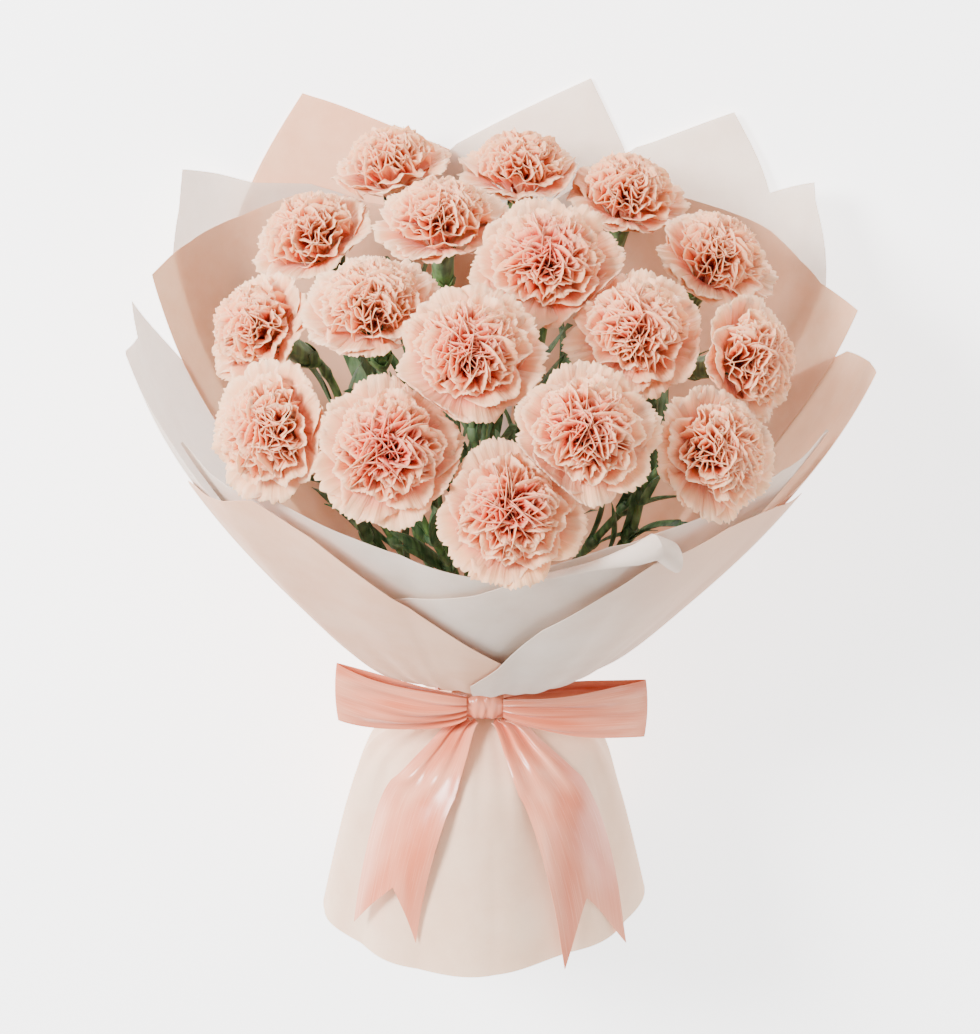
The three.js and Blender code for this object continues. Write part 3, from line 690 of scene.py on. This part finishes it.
HEAD = head_tree()
blank = bpy.data.objects.new("blank", bpy.data.meshes.new("blank"))
bpy.context.scene.collection.objects.link(blank)
heads = []
for number, middles in enumerate(stem_lines, 1):
    facing = middles[-1] - middles[-3]
    facing /= np.linalg.norm(facing)
    centre = middles[-1] + CALYX_DEPTH * facing
    solid = np.array([v.co for v in nodes[f"bloom_{number:02d}"].data.vertices]) - centre
    radius = np.linalg.norm(solid - np.outer(solid @ facing, facing), axis=1).max()
    heads.append((centre, facing, radius))
COMMON_BLUSH = 0.3
BLUSHES = {5: 0.35, 6: 0.9, 9: 0.05, 10: 0.5, 12: 0.8, 14: 1.0, 15: 0.7, 17: 0.75}
for number, (centre, facing, radius) in enumerate(heads, 1):
    mesh = grown("head", blank, HEAD, **{
        "Radius": float(radius), "Depth": CALYX_DEPTH, "Dome": DOME_HEIGHT, "Dome share": DOME_SHARE,
        "Wide petals": GUARD_AND_RIM_PETALS, "Inner petals": INNER_PETALS,
        "Petal thickness": PETAL_THICKNESS, "Ruffle": 1.0, "Seed": number * 7, "Skin": PETAL_SKIN})
    side, other = square_to(facing)
    points = np.empty(len(mesh.vertices) * 3)
    mesh.vertices.foreach_get("co", points)
    points = centre + points.reshape(-1, 3) @ np.array([side, other, facing])
    for neighbour, (their_centre, _, their_radius) in enumerate(heads, 1):
        between = their_centre - centre
        distance = np.linalg.norm(between)
        if neighbour == number or distance > radius + their_radius:
            continue
        between /= distance
        meeting = distance * radius / (radius + their_radius) - HEAD_GAP
        depth = (points - centre) @ between - meeting
        given_way = PRESS_SOFTNESS * np.logaddexp(0, depth / PRESS_SOFTNESS)
        over = PRESS_OVER if number < neighbour else -PRESS_OVER
        points += np.outer(given_way, over * facing - PRESS_BACK * between)
    mesh.vertices.foreach_set("co", points.ravel())
    chance = mesh.attributes["chance a"]
    values = np.empty(len(mesh.vertices))
    chance.data.foreach_get("value", values)
    nature = mesh.attributes.new("nature", "FLOAT_VECTOR", "POINT")
    blush = np.full(len(values), BLUSHES.get(number, COMMON_BLUSH))
    nature.data.foreach_set("vector", np.stack([values, blush, 0 * values], axis=1).ravel())
    for spent in ("number", "share", "inner", "across", "along", "tooth",
                  "chance a", "chance b", "chance c"):
        mesh.attributes.remove(mesh.attributes[spent])
    mesh.shade_smooth()
    mesh.update()
    head = bpy.data.objects.new(f"carnation_{number:02d}", mesh)
    bpy.context.scene.collection.objects.link(head)
    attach(head, "root")
    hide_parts(f"bloom_{number:02d}")
bpy.data.objects.remove(blank)

# Stem tie: five turns of twisted natural twine, pulled tight round the crossing of the stems. It
# holds the bunch together under the paper, so it is hardly seen.
TWINE_RADIUS = 0.0008
TWINE_TURNS = 5
TWINE_PLACE = 0.0182          # from the middle of the bundle


def twine_skin():
    material, start, shader = finish("twine", roughness=0.9, sheen_weight=0.3)
    place = start.node("ShaderNodeUVMap")
    parts = place.node("ShaderNodeSeparateXYZ", {0: place}).socket.node.outputs
    round_it, along = Value(start.tree, parts[0]), Value(start.tree, parts[1])
    strand = ((round_it * 3 + along * 420) * (2 * math.pi)).sin() * 0.5 + 0.5
    fibre = noise(start, stretched(start, place, 60, 900, 1), 1, 4)
    shade = (strand * 0.6 + fibre * 0.4).mix(colour("A89A7C"), colour("E4DAC4"))
    coat(start, shader, base_color=shade, normal=bump(start, strand + fibre * 0.3, 0.8, 0.0003))
    return material


steps, sides = 360, 10
turn = np.linspace(0, 2 * math.pi * TWINE_TURNS, steps)
radius = TWINE_PLACE + 0.0002 * np.sin(turn * 0.37)
level = (turn / turn[-1] - 0.5) * TWINE_TURNS * 2 * TWINE_RADIUS
middle = np.stack([radius * np.sin(turn), -radius * np.cos(turn), level], axis=1)
ray = np.stack([np.sin(turn), -np.cos(turn), 0 * turn], axis=1)
around = np.arange(sides) * 2 * math.pi / sides
cord = (middle[:, None] + TWINE_RADIUS * (np.cos(around)[None, :, None] * ray[:, None]
        + np.sin(around)[None, :, None] * np.array([0, 0, 1.0])))
uv = np.stack(np.meshgrid(turn * 0.018, around / (2 * math.pi), indexing="ij")[::-1], axis=-1)
ends = [tuple(range(sides))[::-1], tuple(range((steps - 1) * sides, steps * sides))]
faces = ring_faces(steps, sides) + ends
twine = made("stem_twine", laid(*np.moveaxis(cord, -1, 0)), faces, twine_skin(), uv)
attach(twine, "root")
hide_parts("stem_tie")

# Wrapping paper: twelve sheets of soft, half-clear paper, pinched at the tie and opened round the
# flowers like a bowl. Those behind stand up in points, those in front fold down in a collar and
# two crossed lapels, and the bunch's weight presses them flat where they meet the table. They lie
# one on another, the outermost as layer 7.
LAYER_PITCH = 0.0015
LAST_LAYER = 7
CAD_PAPER = 0.0006            # room that a sheet has in its layer
PAPER_THICKNESS = 0.00028
PINCH = 0.6                   # share of the layers' pitch that is left where the band pinches them
PAPER_SOFTNESS = 0.014
PAPER_FOLDS = (               # where round the bowl, in radians, how wide, and how high in millimetres
    (-2.6, 0.05, 1.3), (-2.05, 0.06, -1.2), (-1.35, 0.05, 1.1), (-0.85, 0.05, 1.2), (-0.3, 0.04, -0.9),
    (0.38, 0.045, 1.2), (0.95, 0.06, -1.1), (1.5, 0.05, 1.2), (2.1, 0.05, -1.2), (2.75, 0.05, 1.4),
)
DYED = (0.01, 0.12)           # where, to the right, the dye of the right lapel comes in
ROLL_STARTS = (2, 13)         # degrees to the right, of the outer collar's rolled edge
ROLL_ENDS = (29, 31)
ROLL_RADIUS = 0.0075
ROLL_TURN = math.radians(235)
ROLL_ROWS = 18
PAPER_ROWS = 64
BOWL_LEAN = 0.05
FRONT_RISE = 0.013
BOWL = np.array([             # radius and height of the innermost layer, from the pinch to the rim
    (19.5, -14), (20.5, -2), (38, 7), (68, 28), (104, 70), (140, 116),
    (166, 157), (182, 195), (192, 233), (199, 277), (204, 318)]) / 1000
SHEETS = [                    # name, layer, paper, and corners: degrees to the right, share up the bowl
    ("back_sheet_peach", 7, "peach", [(-196, 0.6), (-172, 0.82), (-148, 0.9), (-134, 0.76), (-122, 0.6)]),
    ("back_sheet_white_centre", 6, "white",
     [(148, 0.6), (162, 0.83), (168, 0.91), (188, 0.83), (206, 0.7)]),
    ("back_sheet_white_right", 5, "white",
     [(113, 0.7), (122, 0.82), (134, 0.79), (144, 0.88), (160, 0.83), (178, 0.72)]),
    ("back_sheet_white_left", 5, "white",
     [(-174, 0.7), (-148, 0.79), (-138, 0.8), (-120, 0.84), (-113, 0.74)]),
    ("side_sheet_left", 4, "peach", [(-178, 0.72), (-146, 0.78), (-134, 0.76), (-104, 0.74)]),
    ("side_sheet_right", 4, "peach", [(101, 0.7), (114, 0.7), (130, 0.74), (150, 0.77), (176, 0.72)]),
    ("outer_sheet_left", 5, "white",
     [(-106, 0.6), (-96, 0.73), (-92, 0.69), (-78, 0.72), (-62, 0.63), (-50, 0.55)]),
    ("outer_sheet_right", 5, "peach", [(50, 0.54), (64, 0.58), (75, 0.7), (99, 0.65), (110, 0.58)]),
    ("collar_inner", 1, "white",
     [(-76, 0.58), (-66, 0.62), (-40, 0.6), (-26, 0.575), (-14, 0.55), (0, 0.525), (10, 0.555),
      (18, 0.58), (32, 0.59), (50, 0.6), (66, 0.63), (78, 0.6)]),
    ("collar_outer", 3, "white",
     [(-34, 0.42), (-22, 0.48), (-4, 0.51), (8, 0.545), (18, 0.575), (24, 0.595), (29, 0.57),
      (36, 0.46)]),
    ("lapel_left", 6, "peach",
     [(-92, 0.4), (-80, 0.5), (-66, 0.575), (-42, 0.615), (-32, 0.58), (-20, 0.5), (2, 0.39),
      (12, 0.34)]),
    ("lapel_right", 7, "half_dyed",
     [(-6, 0.33), (2, 0.38), (10, 0.46), (26, 0.56), (40, 0.58), (64, 0.565), (80, 0.5), (92, 0.4)]),
]


def paper_skin(name, tone, shade, clearness, right=None):
    """Soft wrapping paper: long fibres, a cloudy pulp, faint creases, and light shows through. It may
    be dyed another colour towards its right end."""
    material, start, shader = finish(
        name, specular_ior_level=0.2, sheen_weight=0.1, subsurface_weight=0.3, subsurface_scale=0.4)
    shader.inputs["Subsurface Radius"].default_value = (0.008, 0.006, 0.005)
    place = start.node("ShaderNodeTexCoord", out="Object")
    fibre = noise(start, stretched(start, place, 900, 240, 500), 1, 5, 0.65)
    other = noise(start, stretched(start, place, 200, 1100, 600), 1, 5, 0.65)
    pulp = noise(start, place, 26, 5, 0.6)
    crease = start.node("ShaderNodeTexVoronoi", {"Vector": place, "Scale": 9.0}, feature="DISTANCE_TO_EDGE")
    crease = 1 - crease.ease(0, 0.035)
    grain = fibre * 0.5 + other * 0.5
    body = (pulp.ease(0.3, 0.7) * 0.6 + grain * 0.4).mix(colour(shade), colour(tone))
    if right:
        x = Value(start.tree, place.node("ShaderNodeSeparateXYZ", {0: place}).socket.node.outputs[0])
        body = x.ease(*DYED).mix(body, colour(right))
    relief = bump(start, grain, 0.22, 0.0002)
    relief = bump(start, crease, 0.12, 0.0006, relief)
    coat(start, shader, base_color=body, roughness=0.62 + grain * 0.25, normal=relief,
         alpha=(clearness + pulp * 0.06))
    return material


PAPERS = {
    "white": (paper_skin("white paper", "F8E6D6", "E8CDB8", 0.6), "white_paper"),
    "peach": (paper_skin("peach paper", "F6BE9C", "EAA47E", 0.84), "peach_paper"),
    "half_dyed": (paper_skin("half dyed paper", "F8E6D6", "E8CDB8", 0.7, "F6BE9C"), "white_paper"),
}


def curve_points(corners, share):
    """Points of a smooth curve through its corners, which share equal parts of its length."""
    corners = np.asarray(corners, float)
    last = len(corners) - 1
    share = np.clip(share, 0, 1) * last
    step = np.minimum(share.astype(int), last - 1)
    t = (share - step)[..., None]
    before, a = corners[np.maximum(step - 1, 0)], corners[step]
    b, after = corners[step + 1], corners[np.minimum(step + 2, last)]
    first, second = (b - before) / 2, (after - a) / 2
    return ((2 * a - 2 * b + first + second) * t ** 3 + (3 * b - 3 * a - 2 * first - second) * t ** 2
            + first * t + a)


def eased(value, low, high):
    t = np.clip((value - low) / (high - low), 0, 1)
    return t * t * (3 - 2 * t)


def pressed(x, y, z, lowest):
    """Bends points of the upright bunch up from the table, so that none lies under lowest."""
    over = laid(x, y, z)[..., 2] - lowest
    lift = PAPER_SOFTNESS * np.logaddexp(0, over / PAPER_SOFTNESS) - over
    way = UPWARDS @ np.array([0, 0, 1])
    return laid(x + lift * way[0], y + lift * way[1], z + lift * way[2])


def paper_wave(angle, share):
    """Folds and soft waves that all the layers share, so that they never pass through each other."""
    opened = eased(share, 0.1, 0.5)
    wave = 0.0010 * np.sin(5 * angle + 0.7) + 0.0008 * np.sin(9 * angle + 2.1 + 3 * share)
    wave = wave + 0.0006 * np.sin(17 * angle + 6 * share + 0.3)
    for fold, width, height in PAPER_FOLDS:
        gap = np.abs((angle - fold + math.pi) % (2 * math.pi) - math.pi)
        wave = wave + 0.001 * height * np.exp(-gap / width)
    pleat = 0.0006 * np.sin(34 * angle) * eased(share, 0.0, 0.1) * (1 - eased(share, 0.15, 0.5))
    return wave * opened * (1 + 1.6 * eased(share, 0.5, 0.9)) + pleat


def bowl_place(azimuth, share, layer, stray=0):
    """Where a sheet lies, at degrees round the stems and a share of the way up the bowl."""
    angle = np.radians(azimuth)
    outwards = layer * LAYER_PITCH + CAD_PAPER / 2
    radius, height = np.moveaxis(curve_points(BOWL, share), -1, 0)
    ahead, behind = curve_points(BOWL, share + 0.01), curve_points(BOWL, share - 0.01)
    along = ahead - behind
    along /= np.linalg.norm(along, axis=-1, keepdims=True)
    loose = PINCH + (1 - PINCH) * eased(share, 0, 0.3)
    wave = paper_wave(angle, share) + stray
    off = outwards * loose + wave
    rise = FRONT_RISE * np.maximum(0, np.cos(angle)) * (1 - eased(share, 0.1, 0.45))
    radius = radius + along[..., 1] * off
    height = height - along[..., 0] * off + rise
    lean = BOWL_LEAN * np.maximum(height, 0)
    lowest = LAST_LAYER * LAYER_PITCH + CAD_PAPER - outwards
    return pressed(radius * np.sin(angle) + lean, -radius * np.cos(angle), height, lowest)


def area_of(middle):
    """The area of a sheet from its rows and columns of points."""
    a, b, c, d = middle[:-1, :-1], middle[:-1, 1:], middle[1:, 1:], middle[1:, :-1]
    halves = np.cross(b - a, c - a), np.cross(c - a, d - a)
    return float(sum(np.linalg.norm(half, axis=2).sum() for half in halves) / 2)


def with_rolled_edge(middle, azimuth):
    """Adds a lip to a sheet's upper edge, which curls forward and opens like a cone to the right."""
    strength = eased(azimuth, *ROLL_STARTS) * (1 - eased(azimuth, *ROLL_ENDS))
    radius = (ROLL_RADIUS * (0.25 + 0.75 * eased(azimuth, ROLL_STARTS[1], ROLL_ENDS[0])))[:, None]
    up = middle[-1] - middle[-2]
    up /= np.linalg.norm(up, axis=1, keepdims=True)
    forward = np.cross(np.gradient(middle[-1], axis=0), up)
    forward *= np.sign(forward[:, 2:]) / np.linalg.norm(forward, axis=1, keepdims=True)
    lip = []
    for step in range(1, ROLL_ROWS + 1):
        turn = (0.04 + strength[:, None] * ROLL_TURN) * step / ROLL_ROWS
        lip.append(middle[-1] + radius * (np.sin(turn) * up + (1 - np.cos(turn)) * forward))
    return np.concatenate([middle, np.array(lip)])


for number, (name, layer, paper, corners) in enumerate(SHEETS):
    skin, slot = PAPERS[paper]
    bearings, tops = np.array(corners).T
    azimuth = np.union1d(np.arange(math.ceil(bearings[0]), bearings[-1], 1.5), bearings)
    top = np.interp(azimuth, bearings, tops)
    rows = np.linspace(0, 1, PAPER_ROWS)[:, None]
    share = rows * top
    angles = np.broadcast_to(azimuth, share.shape)
    stray = np.sin(np.radians(angles) * (11 + number) + number + 9 * share)
    stray *= 0.00025 * eased(share, 0.15, 0.4)
    middle = bowl_place(angles, share, layer, stray)
    if name == "collar_outer":
        middle = with_rolled_edge(middle, azimuth)
    piece = sheet_piece(name + "_paper", middle, PAPER_THICKNESS, skin)
    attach(piece, "root")
    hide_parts(name)
    area = area_of(middle)

# Skirt: one sheet of cream paper wound right round the stems, gathered under the ribbon and
# opening in soft pleats down to the hem, where the table presses its back flat.
HEM_DROP = 0.138
HEM_SLANT = 0.006
SKIRT = np.array([            # radius and height from inside the band down to the hem
    (19.4, -6), (19.6, -20), (40, -27), (58, -36), (66, -49), (73, -73), (81, -106),
    (88, -HEM_DROP * 1000)]) / 1000
SKIRT_THICKNESS = 0.0003
SKIRT_COLUMNS = 360
SKIRT_ROWS = 110

cream = paper_skin("cream paper", "F6CCAE", "E8B596", 0.97)
turn = np.arange(SKIRT_COLUMNS) * 2 * math.pi / SKIRT_COLUMNS
share, angle = np.meshgrid(np.linspace(0, 1, SKIRT_ROWS), turn, indexing="ij")
radius, height = np.moveaxis(curve_points(SKIRT, share), -1, 0)
gathers = 0.5 * np.sin(26 * angle + 0.8 * np.sin(3 * angle)) + 0.5 - np.abs(np.sin(9.5 * angle + 1))
folds = 0.9 * np.sin(5 * angle + 2.3) + 0.5 * np.sin(9 * angle + 1.1)
folds = folds + 0.5 * np.abs(np.sin(6.5 * angle - 0.4))
radius = radius + 0.0017 * gathers * eased(share, 0.18, 0.3) * (1 - eased(share, 0.3, 0.8))
radius = radius + 0.0024 * folds * eased(share, 0.3, 0.8)
height = height + HEM_SLANT * np.sin(angle) * share
middle = pressed(radius * np.sin(angle), -radius * np.cos(angle), height, SKIRT_THICKNESS)
skirt = sheet_piece("paper_skirt", middle, SKIRT_THICKNESS, cream, closed=True)
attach(skirt, "root")
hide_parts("skirt")
closed_middle = np.concatenate([middle, middle[:, :1]], axis=1)
area_of(closed_middle)

# Ribbon: peach satin, folded small round the pinch of the paper and tied in front in a bow, with a
# knot, two loops and two tails that fall over the skirt and end in fishtails.
RIBBON_WIDTH = 0.034
RIBBON_THICKNESS = 0.0004
KNOT_WIDTH, KNOT_DEPTH, KNOT_HEIGHT = 0.022, 0.009, 0.015
low, high = (np.array(corner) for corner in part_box("ribbon_band"))
BAND_MIDDLE = float(((low + high) / 2 - TIE) @ AXIS)
BAND_RADIUS = float(high[0] - low[0]) / 2
BAND_WIDTH = 0.008
low, high = (np.array(corner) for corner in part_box("ribbon_knot"))
KNOT_PLACE = ((low + high) / 2 - TIE) @ UPWARDS.T


def satin_skin():
    """Satin: smooth warp threads along the ribbon that catch the light, over a finer weft, coloured with
    painted shade and painted highlights.
    """
    material, start, shader = finish(
        "satin", specular_ior_level=0.55, sheen_weight=0.35, sheen_roughness=0.35, anisotropic=0.45)
    place = start.node("ShaderNodeUVMap")
    parts = place.node("ShaderNodeSeparateXYZ", {0: place}).socket.node.outputs
    across, along = Value(start.tree, parts[0]), Value(start.tree, parts[1])
    warp = (across * (2 * math.pi / 0.0006)).sin() * 0.5 + 0.5
    weft = (along * (2 * math.pi / 0.0009)).sin() * 0.5 + 0.5
    # painted shade and highlight: broad crease noise and fine streaks swing the colour between dark coral
    # and pale coral, standing in for the shading and reflections of satin; the crease noise also raises
    # real folds through the bump below
    streak = noise(start, stretched(start, place, 1400, 30, 1), 1, 3)
    crease = noise(start, stretched(start, place, 45, 14, 1), 1, 2)
    shade = (streak * 0.2 + crease * 0.8).ease(0.32, 0.66).mix(colour("D8714E"), colour("F2A382"))
    relief = bump(start, warp * 0.7 + weft * 0.3, 0.08, 0.0001)
    relief = bump(start, crease, 0.8, 0.004, relief)
    coat(start, shader, base_color=shade, roughness=0.2 + streak * 0.12, normal=relief)
    return material


SATIN = satin_skin()


def ribbon_piece(name, node, middle, closed=False, width=RIBBON_WIDTH, declared=True):
    """A length of ribbon from its rows (along) and columns (across) of points."""
    length = float(np.linalg.norm(np.diff(middle, axis=0), axis=2).sum(axis=0).max())
    rows, columns = middle.shape[:2]
    along, across = np.linspace(0, length, rows), np.linspace(0, width, columns)
    uv = np.stack(np.meshgrid(along, across, indexing="ij")[::-1], axis=-1)
    piece = sheet_piece(name, middle, RIBBON_THICKNESS, SATIN, uv, closed)
    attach(piece, "root")
    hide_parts(node)
    if declared:
        area = area_of(middle)
    return piece


# Ribbon band: the middle of the ribbon goes once round the pinch of the paper, over the top of the
# skirt, folded lengthways in small gathers that the knot pulls tight.
turn = np.arange(180) * math.pi / 90
level, angle = np.meshgrid(np.linspace(-0.5, 0.5, 40), turn, indexing="ij")
gather = 0.5 - 0.5 * np.cos(level * 2 * math.pi * 4 + 0.5 * np.sin(3 * angle))
radius = BAND_RADIUS - 0.0007 + 0.00035 * gather - 0.0006 * (2 * np.abs(level)) ** 6
middle = laid(radius * np.sin(angle), -radius * np.cos(angle), BAND_MIDDLE + level * BAND_WIDTH)
ribbon_piece("satin_band", "ribbon_band", middle, closed=True, width=BAND_WIDTH, declared=False)

# Knot: the ribbon drawn tight over itself in front, as a small pillow with gathers across it and a
# pinch in its middle.
KNOT_SIDES = 96
KNOT_RINGS = 38
turn = np.arange(KNOT_SIDES) * 2 * math.pi / KNOT_SIDES
turn, level = np.meshgrid(turn, np.linspace(0, 1, KNOT_RINGS + 2), indexing="xy")
bulge = np.sin(math.pi * level) ** 0.42
gathers = 0.09 * np.sin(level * math.pi * 9 + 0.8 * np.sin(turn * 2)) * np.sin(math.pi * level)
gathers = gathers - 0.22 * np.exp(-((level - 0.52 - 0.03 * np.sin(turn * 3)) / 0.05) ** 2)
swell = bulge * (1 + gathers)
x = (level - 0.5) * KNOT_WIDTH
y, z = np.sin(turn) * KNOT_DEPTH / 2 * swell, np.cos(turn) * KNOT_HEIGHT / 2 * swell
pillow = np.stack([x, y, z], axis=-1)[1:-1] + KNOT_PLACE
last = (KNOT_RINGS - 1) * KNOT_SIDES
ends = [tuple(range(KNOT_SIDES))[::-1], tuple(range(last, last + KNOT_SIDES))]
faces = ring_faces(KNOT_RINGS, KNOT_SIDES) + ends
knot = made("satin_knot", laid(*np.moveaxis(pillow, -1, 0)), faces, SATIN)
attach(knot, "root")
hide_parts("ribbon_knot")


# Bow loops: on each side the ribbon comes out of the knot in gathers, opens to its full width, and
# turns back behind itself over a rounded fold.
def loop(name, node, way, reach, rise, seed):
    """A loop goes out from the knot, round a fold at its tip, and back behind itself."""
    turn = np.linspace(0, math.pi, 120)
    angle, across = np.meshgrid(turn, np.linspace(-0.5, 0.5, 45), indexing="ij")
    spread = np.sin(angle) ** 0.8
    belly = 0.0015 + 0.006 * np.sin(math.pi * np.minimum(1, spread * 0.8 + 0.1))
    near = 1 - spread
    fold = np.sin(across * math.pi * 7 + seed) * 0.0019 * near ** 0.8
    sway = np.sin(across * math.pi * 2.4 + seed * 1.7 + 3 * spread)
    fold = fold + sway * 0.0026 * np.sin(math.pi * spread)
    fold = fold - 0.0022 * (2 * across) ** 2 * np.sin(math.pi * spread) * 0.6
    depth = -KNOT_PLACE[1] + 0.006 * np.sqrt(spread) + np.cos(angle) * belly + fold * np.cos(angle)
    start = KNOT_WIDTH / 2 - 0.0012
    out = start + (reach - start) * spread - 0.0012 * (2 * across) ** 2 * np.sin(angle) ** 8
    width = KNOT_HEIGHT * 0.7 + (RIBBON_WIDTH - KNOT_HEIGHT * 0.7) * spread ** 0.7
    height = KNOT_PLACE[2] + rise * spread ** 2 + across * width
    ribbon_piece(name, node, laid(way * out, -depth, height))


loop("satin_loop_left", "bow_loop_left", -1, 0.079, 0.012, 0.4)
loop("satin_loop_right", "bow_loop_right", 1, 0.086, 0.002, 1.9)

# Tails: the two ends of the ribbon fall from under the knot over the shoulder of the skirt, and each
# is cut to a fishtail.
TAIL = np.array([             # radius and height, from under the knot down over the skirt
    (-KNOT_PLACE[1] * 1000 - 2, -16), (50, -25), (64, -36), (72, -50), (79, -73), (87, -106),
    (95, -150)]) / 1000


def tail(name, node, start, end, length, notch, seed):
    """A tail falls over the shoulder of the skirt and ends in two points."""
    rows, across = np.meshgrid(np.linspace(0, 1, 110), np.linspace(-0.5, 0.5, 41), indexing="ij")
    share = rows * (length - notch * (1 - np.abs(across) * 2))
    width = KNOT_HEIGHT * 0.6 + (RIBBON_WIDTH - KNOT_HEIGHT * 0.6) * np.minimum(1, share * 2.4) ** 0.8
    radius, height = np.moveaxis(curve_points(TAIL, share), -1, 0)
    gather = np.sin(across * math.pi * 5 + seed) * 0.0021 * (1 - eased(share, 0.05, 0.6))
    wave = np.sin(share * 10 + seed + across * 2.5) * 0.0024 * eased(share, 0.2, 0.6)
    curl = (across ** 2) * 0.006 * np.sin(share * 5 + seed)
    radius = radius + 0.0004 + gather + wave + curl
    x = start + (end - start) * share ** 0.8 + across * width
    middle = laid(x, -np.sqrt(radius ** 2 - x ** 2), height)
    ribbon_piece(name, node, middle)


tail("satin_tail_left", "ribbon_tail_left", -0.008, -0.058, 0.9, 0.12, 0.5)
tail("satin_tail_right", "ribbon_tail_right", 0.008, 0.062, 0.95, 0.12, 2.2)

# The table and the light: a plain pale surface, a broad soft light from the upper left and a
# weaker one from the right.
floor_mesh = bpy.data.meshes.new("floor")
FLOOR_HALF = 6
floor_mesh.from_pydata([(-FLOOR_HALF, -FLOOR_HALF, 0), (FLOOR_HALF, -FLOOR_HALF, 0),
                        (FLOOR_HALF, FLOOR_HALF, 0), (-FLOOR_HALF, FLOOR_HALF, 0)], [], [(0, 1, 2, 3)])
floor = bpy.data.objects.new("floor", floor_mesh)
bpy.context.scene.collection.objects.link(floor)
pale, *_ = finish("pale floor", base_color=(0.95, 0.95, 0.95, 1), roughness=0.9,
                  emission_color=(1, 1, 1, 1), emission_strength=2.4)
floor_mesh.materials.append(pale)

world = bpy.data.worlds.new("studio")
bpy.context.scene.world = world
world.use_nodes = True
world.node_tree.nodes["Background"].inputs["Color"].default_value = (1, 1, 1, 1)
world.node_tree.nodes["Background"].inputs["Strength"].default_value = 1.05


def soft_light(name, place, towards, size, power):
    light = bpy.data.lights.new(name, "AREA")
    light.shape, light.size, light.energy = "DISK", size, power
    lamp = bpy.data.objects.new(name, light)
    bpy.context.scene.collection.objects.link(lamp)
    lamp.location = place
    lamp.rotation_euler = (Vector(towards) - Vector(place)).to_track_quat("-Z", "Y").to_euler()


soft_light("key light", (-1.5, 0.9, 1.5), (0, 0, 0.1), 0.9, 135)
soft_light("side light", (1.2, -0.6, 1.8), (0, 0, 0.1), 1.2, 10)

# The camera looks down on the bunch from above and a little in front, with the flowers at the top
# of the picture.
CAMERA_TILT = math.radians(17)
back = np.array([0, math.sin(CAMERA_TILT), math.cos(CAMERA_TILT)])
top = np.array([0, math.cos(CAMERA_TILT), -math.sin(CAMERA_TILT)])
aim = TIE - 0.014 * AXIS + np.array([0.0027, 0, 0]) + 0.0941 * top
camera = bpy.data.objects.new("camera", bpy.data.cameras.new("camera"))
bpy.context.scene.collection.objects.link(camera)
camera.data.lens, camera.data.sensor_width = 96, 36
camera.data.clip_start, camera.data.clip_end = 0.05, 30
camera.matrix_world = Matrix.Translation(aim + 1.5 * back) @ Matrix(
    np.column_stack([(1, 0, 0), top, back]).tolist()).to_4x4()
bpy.context.scene.camera = camera
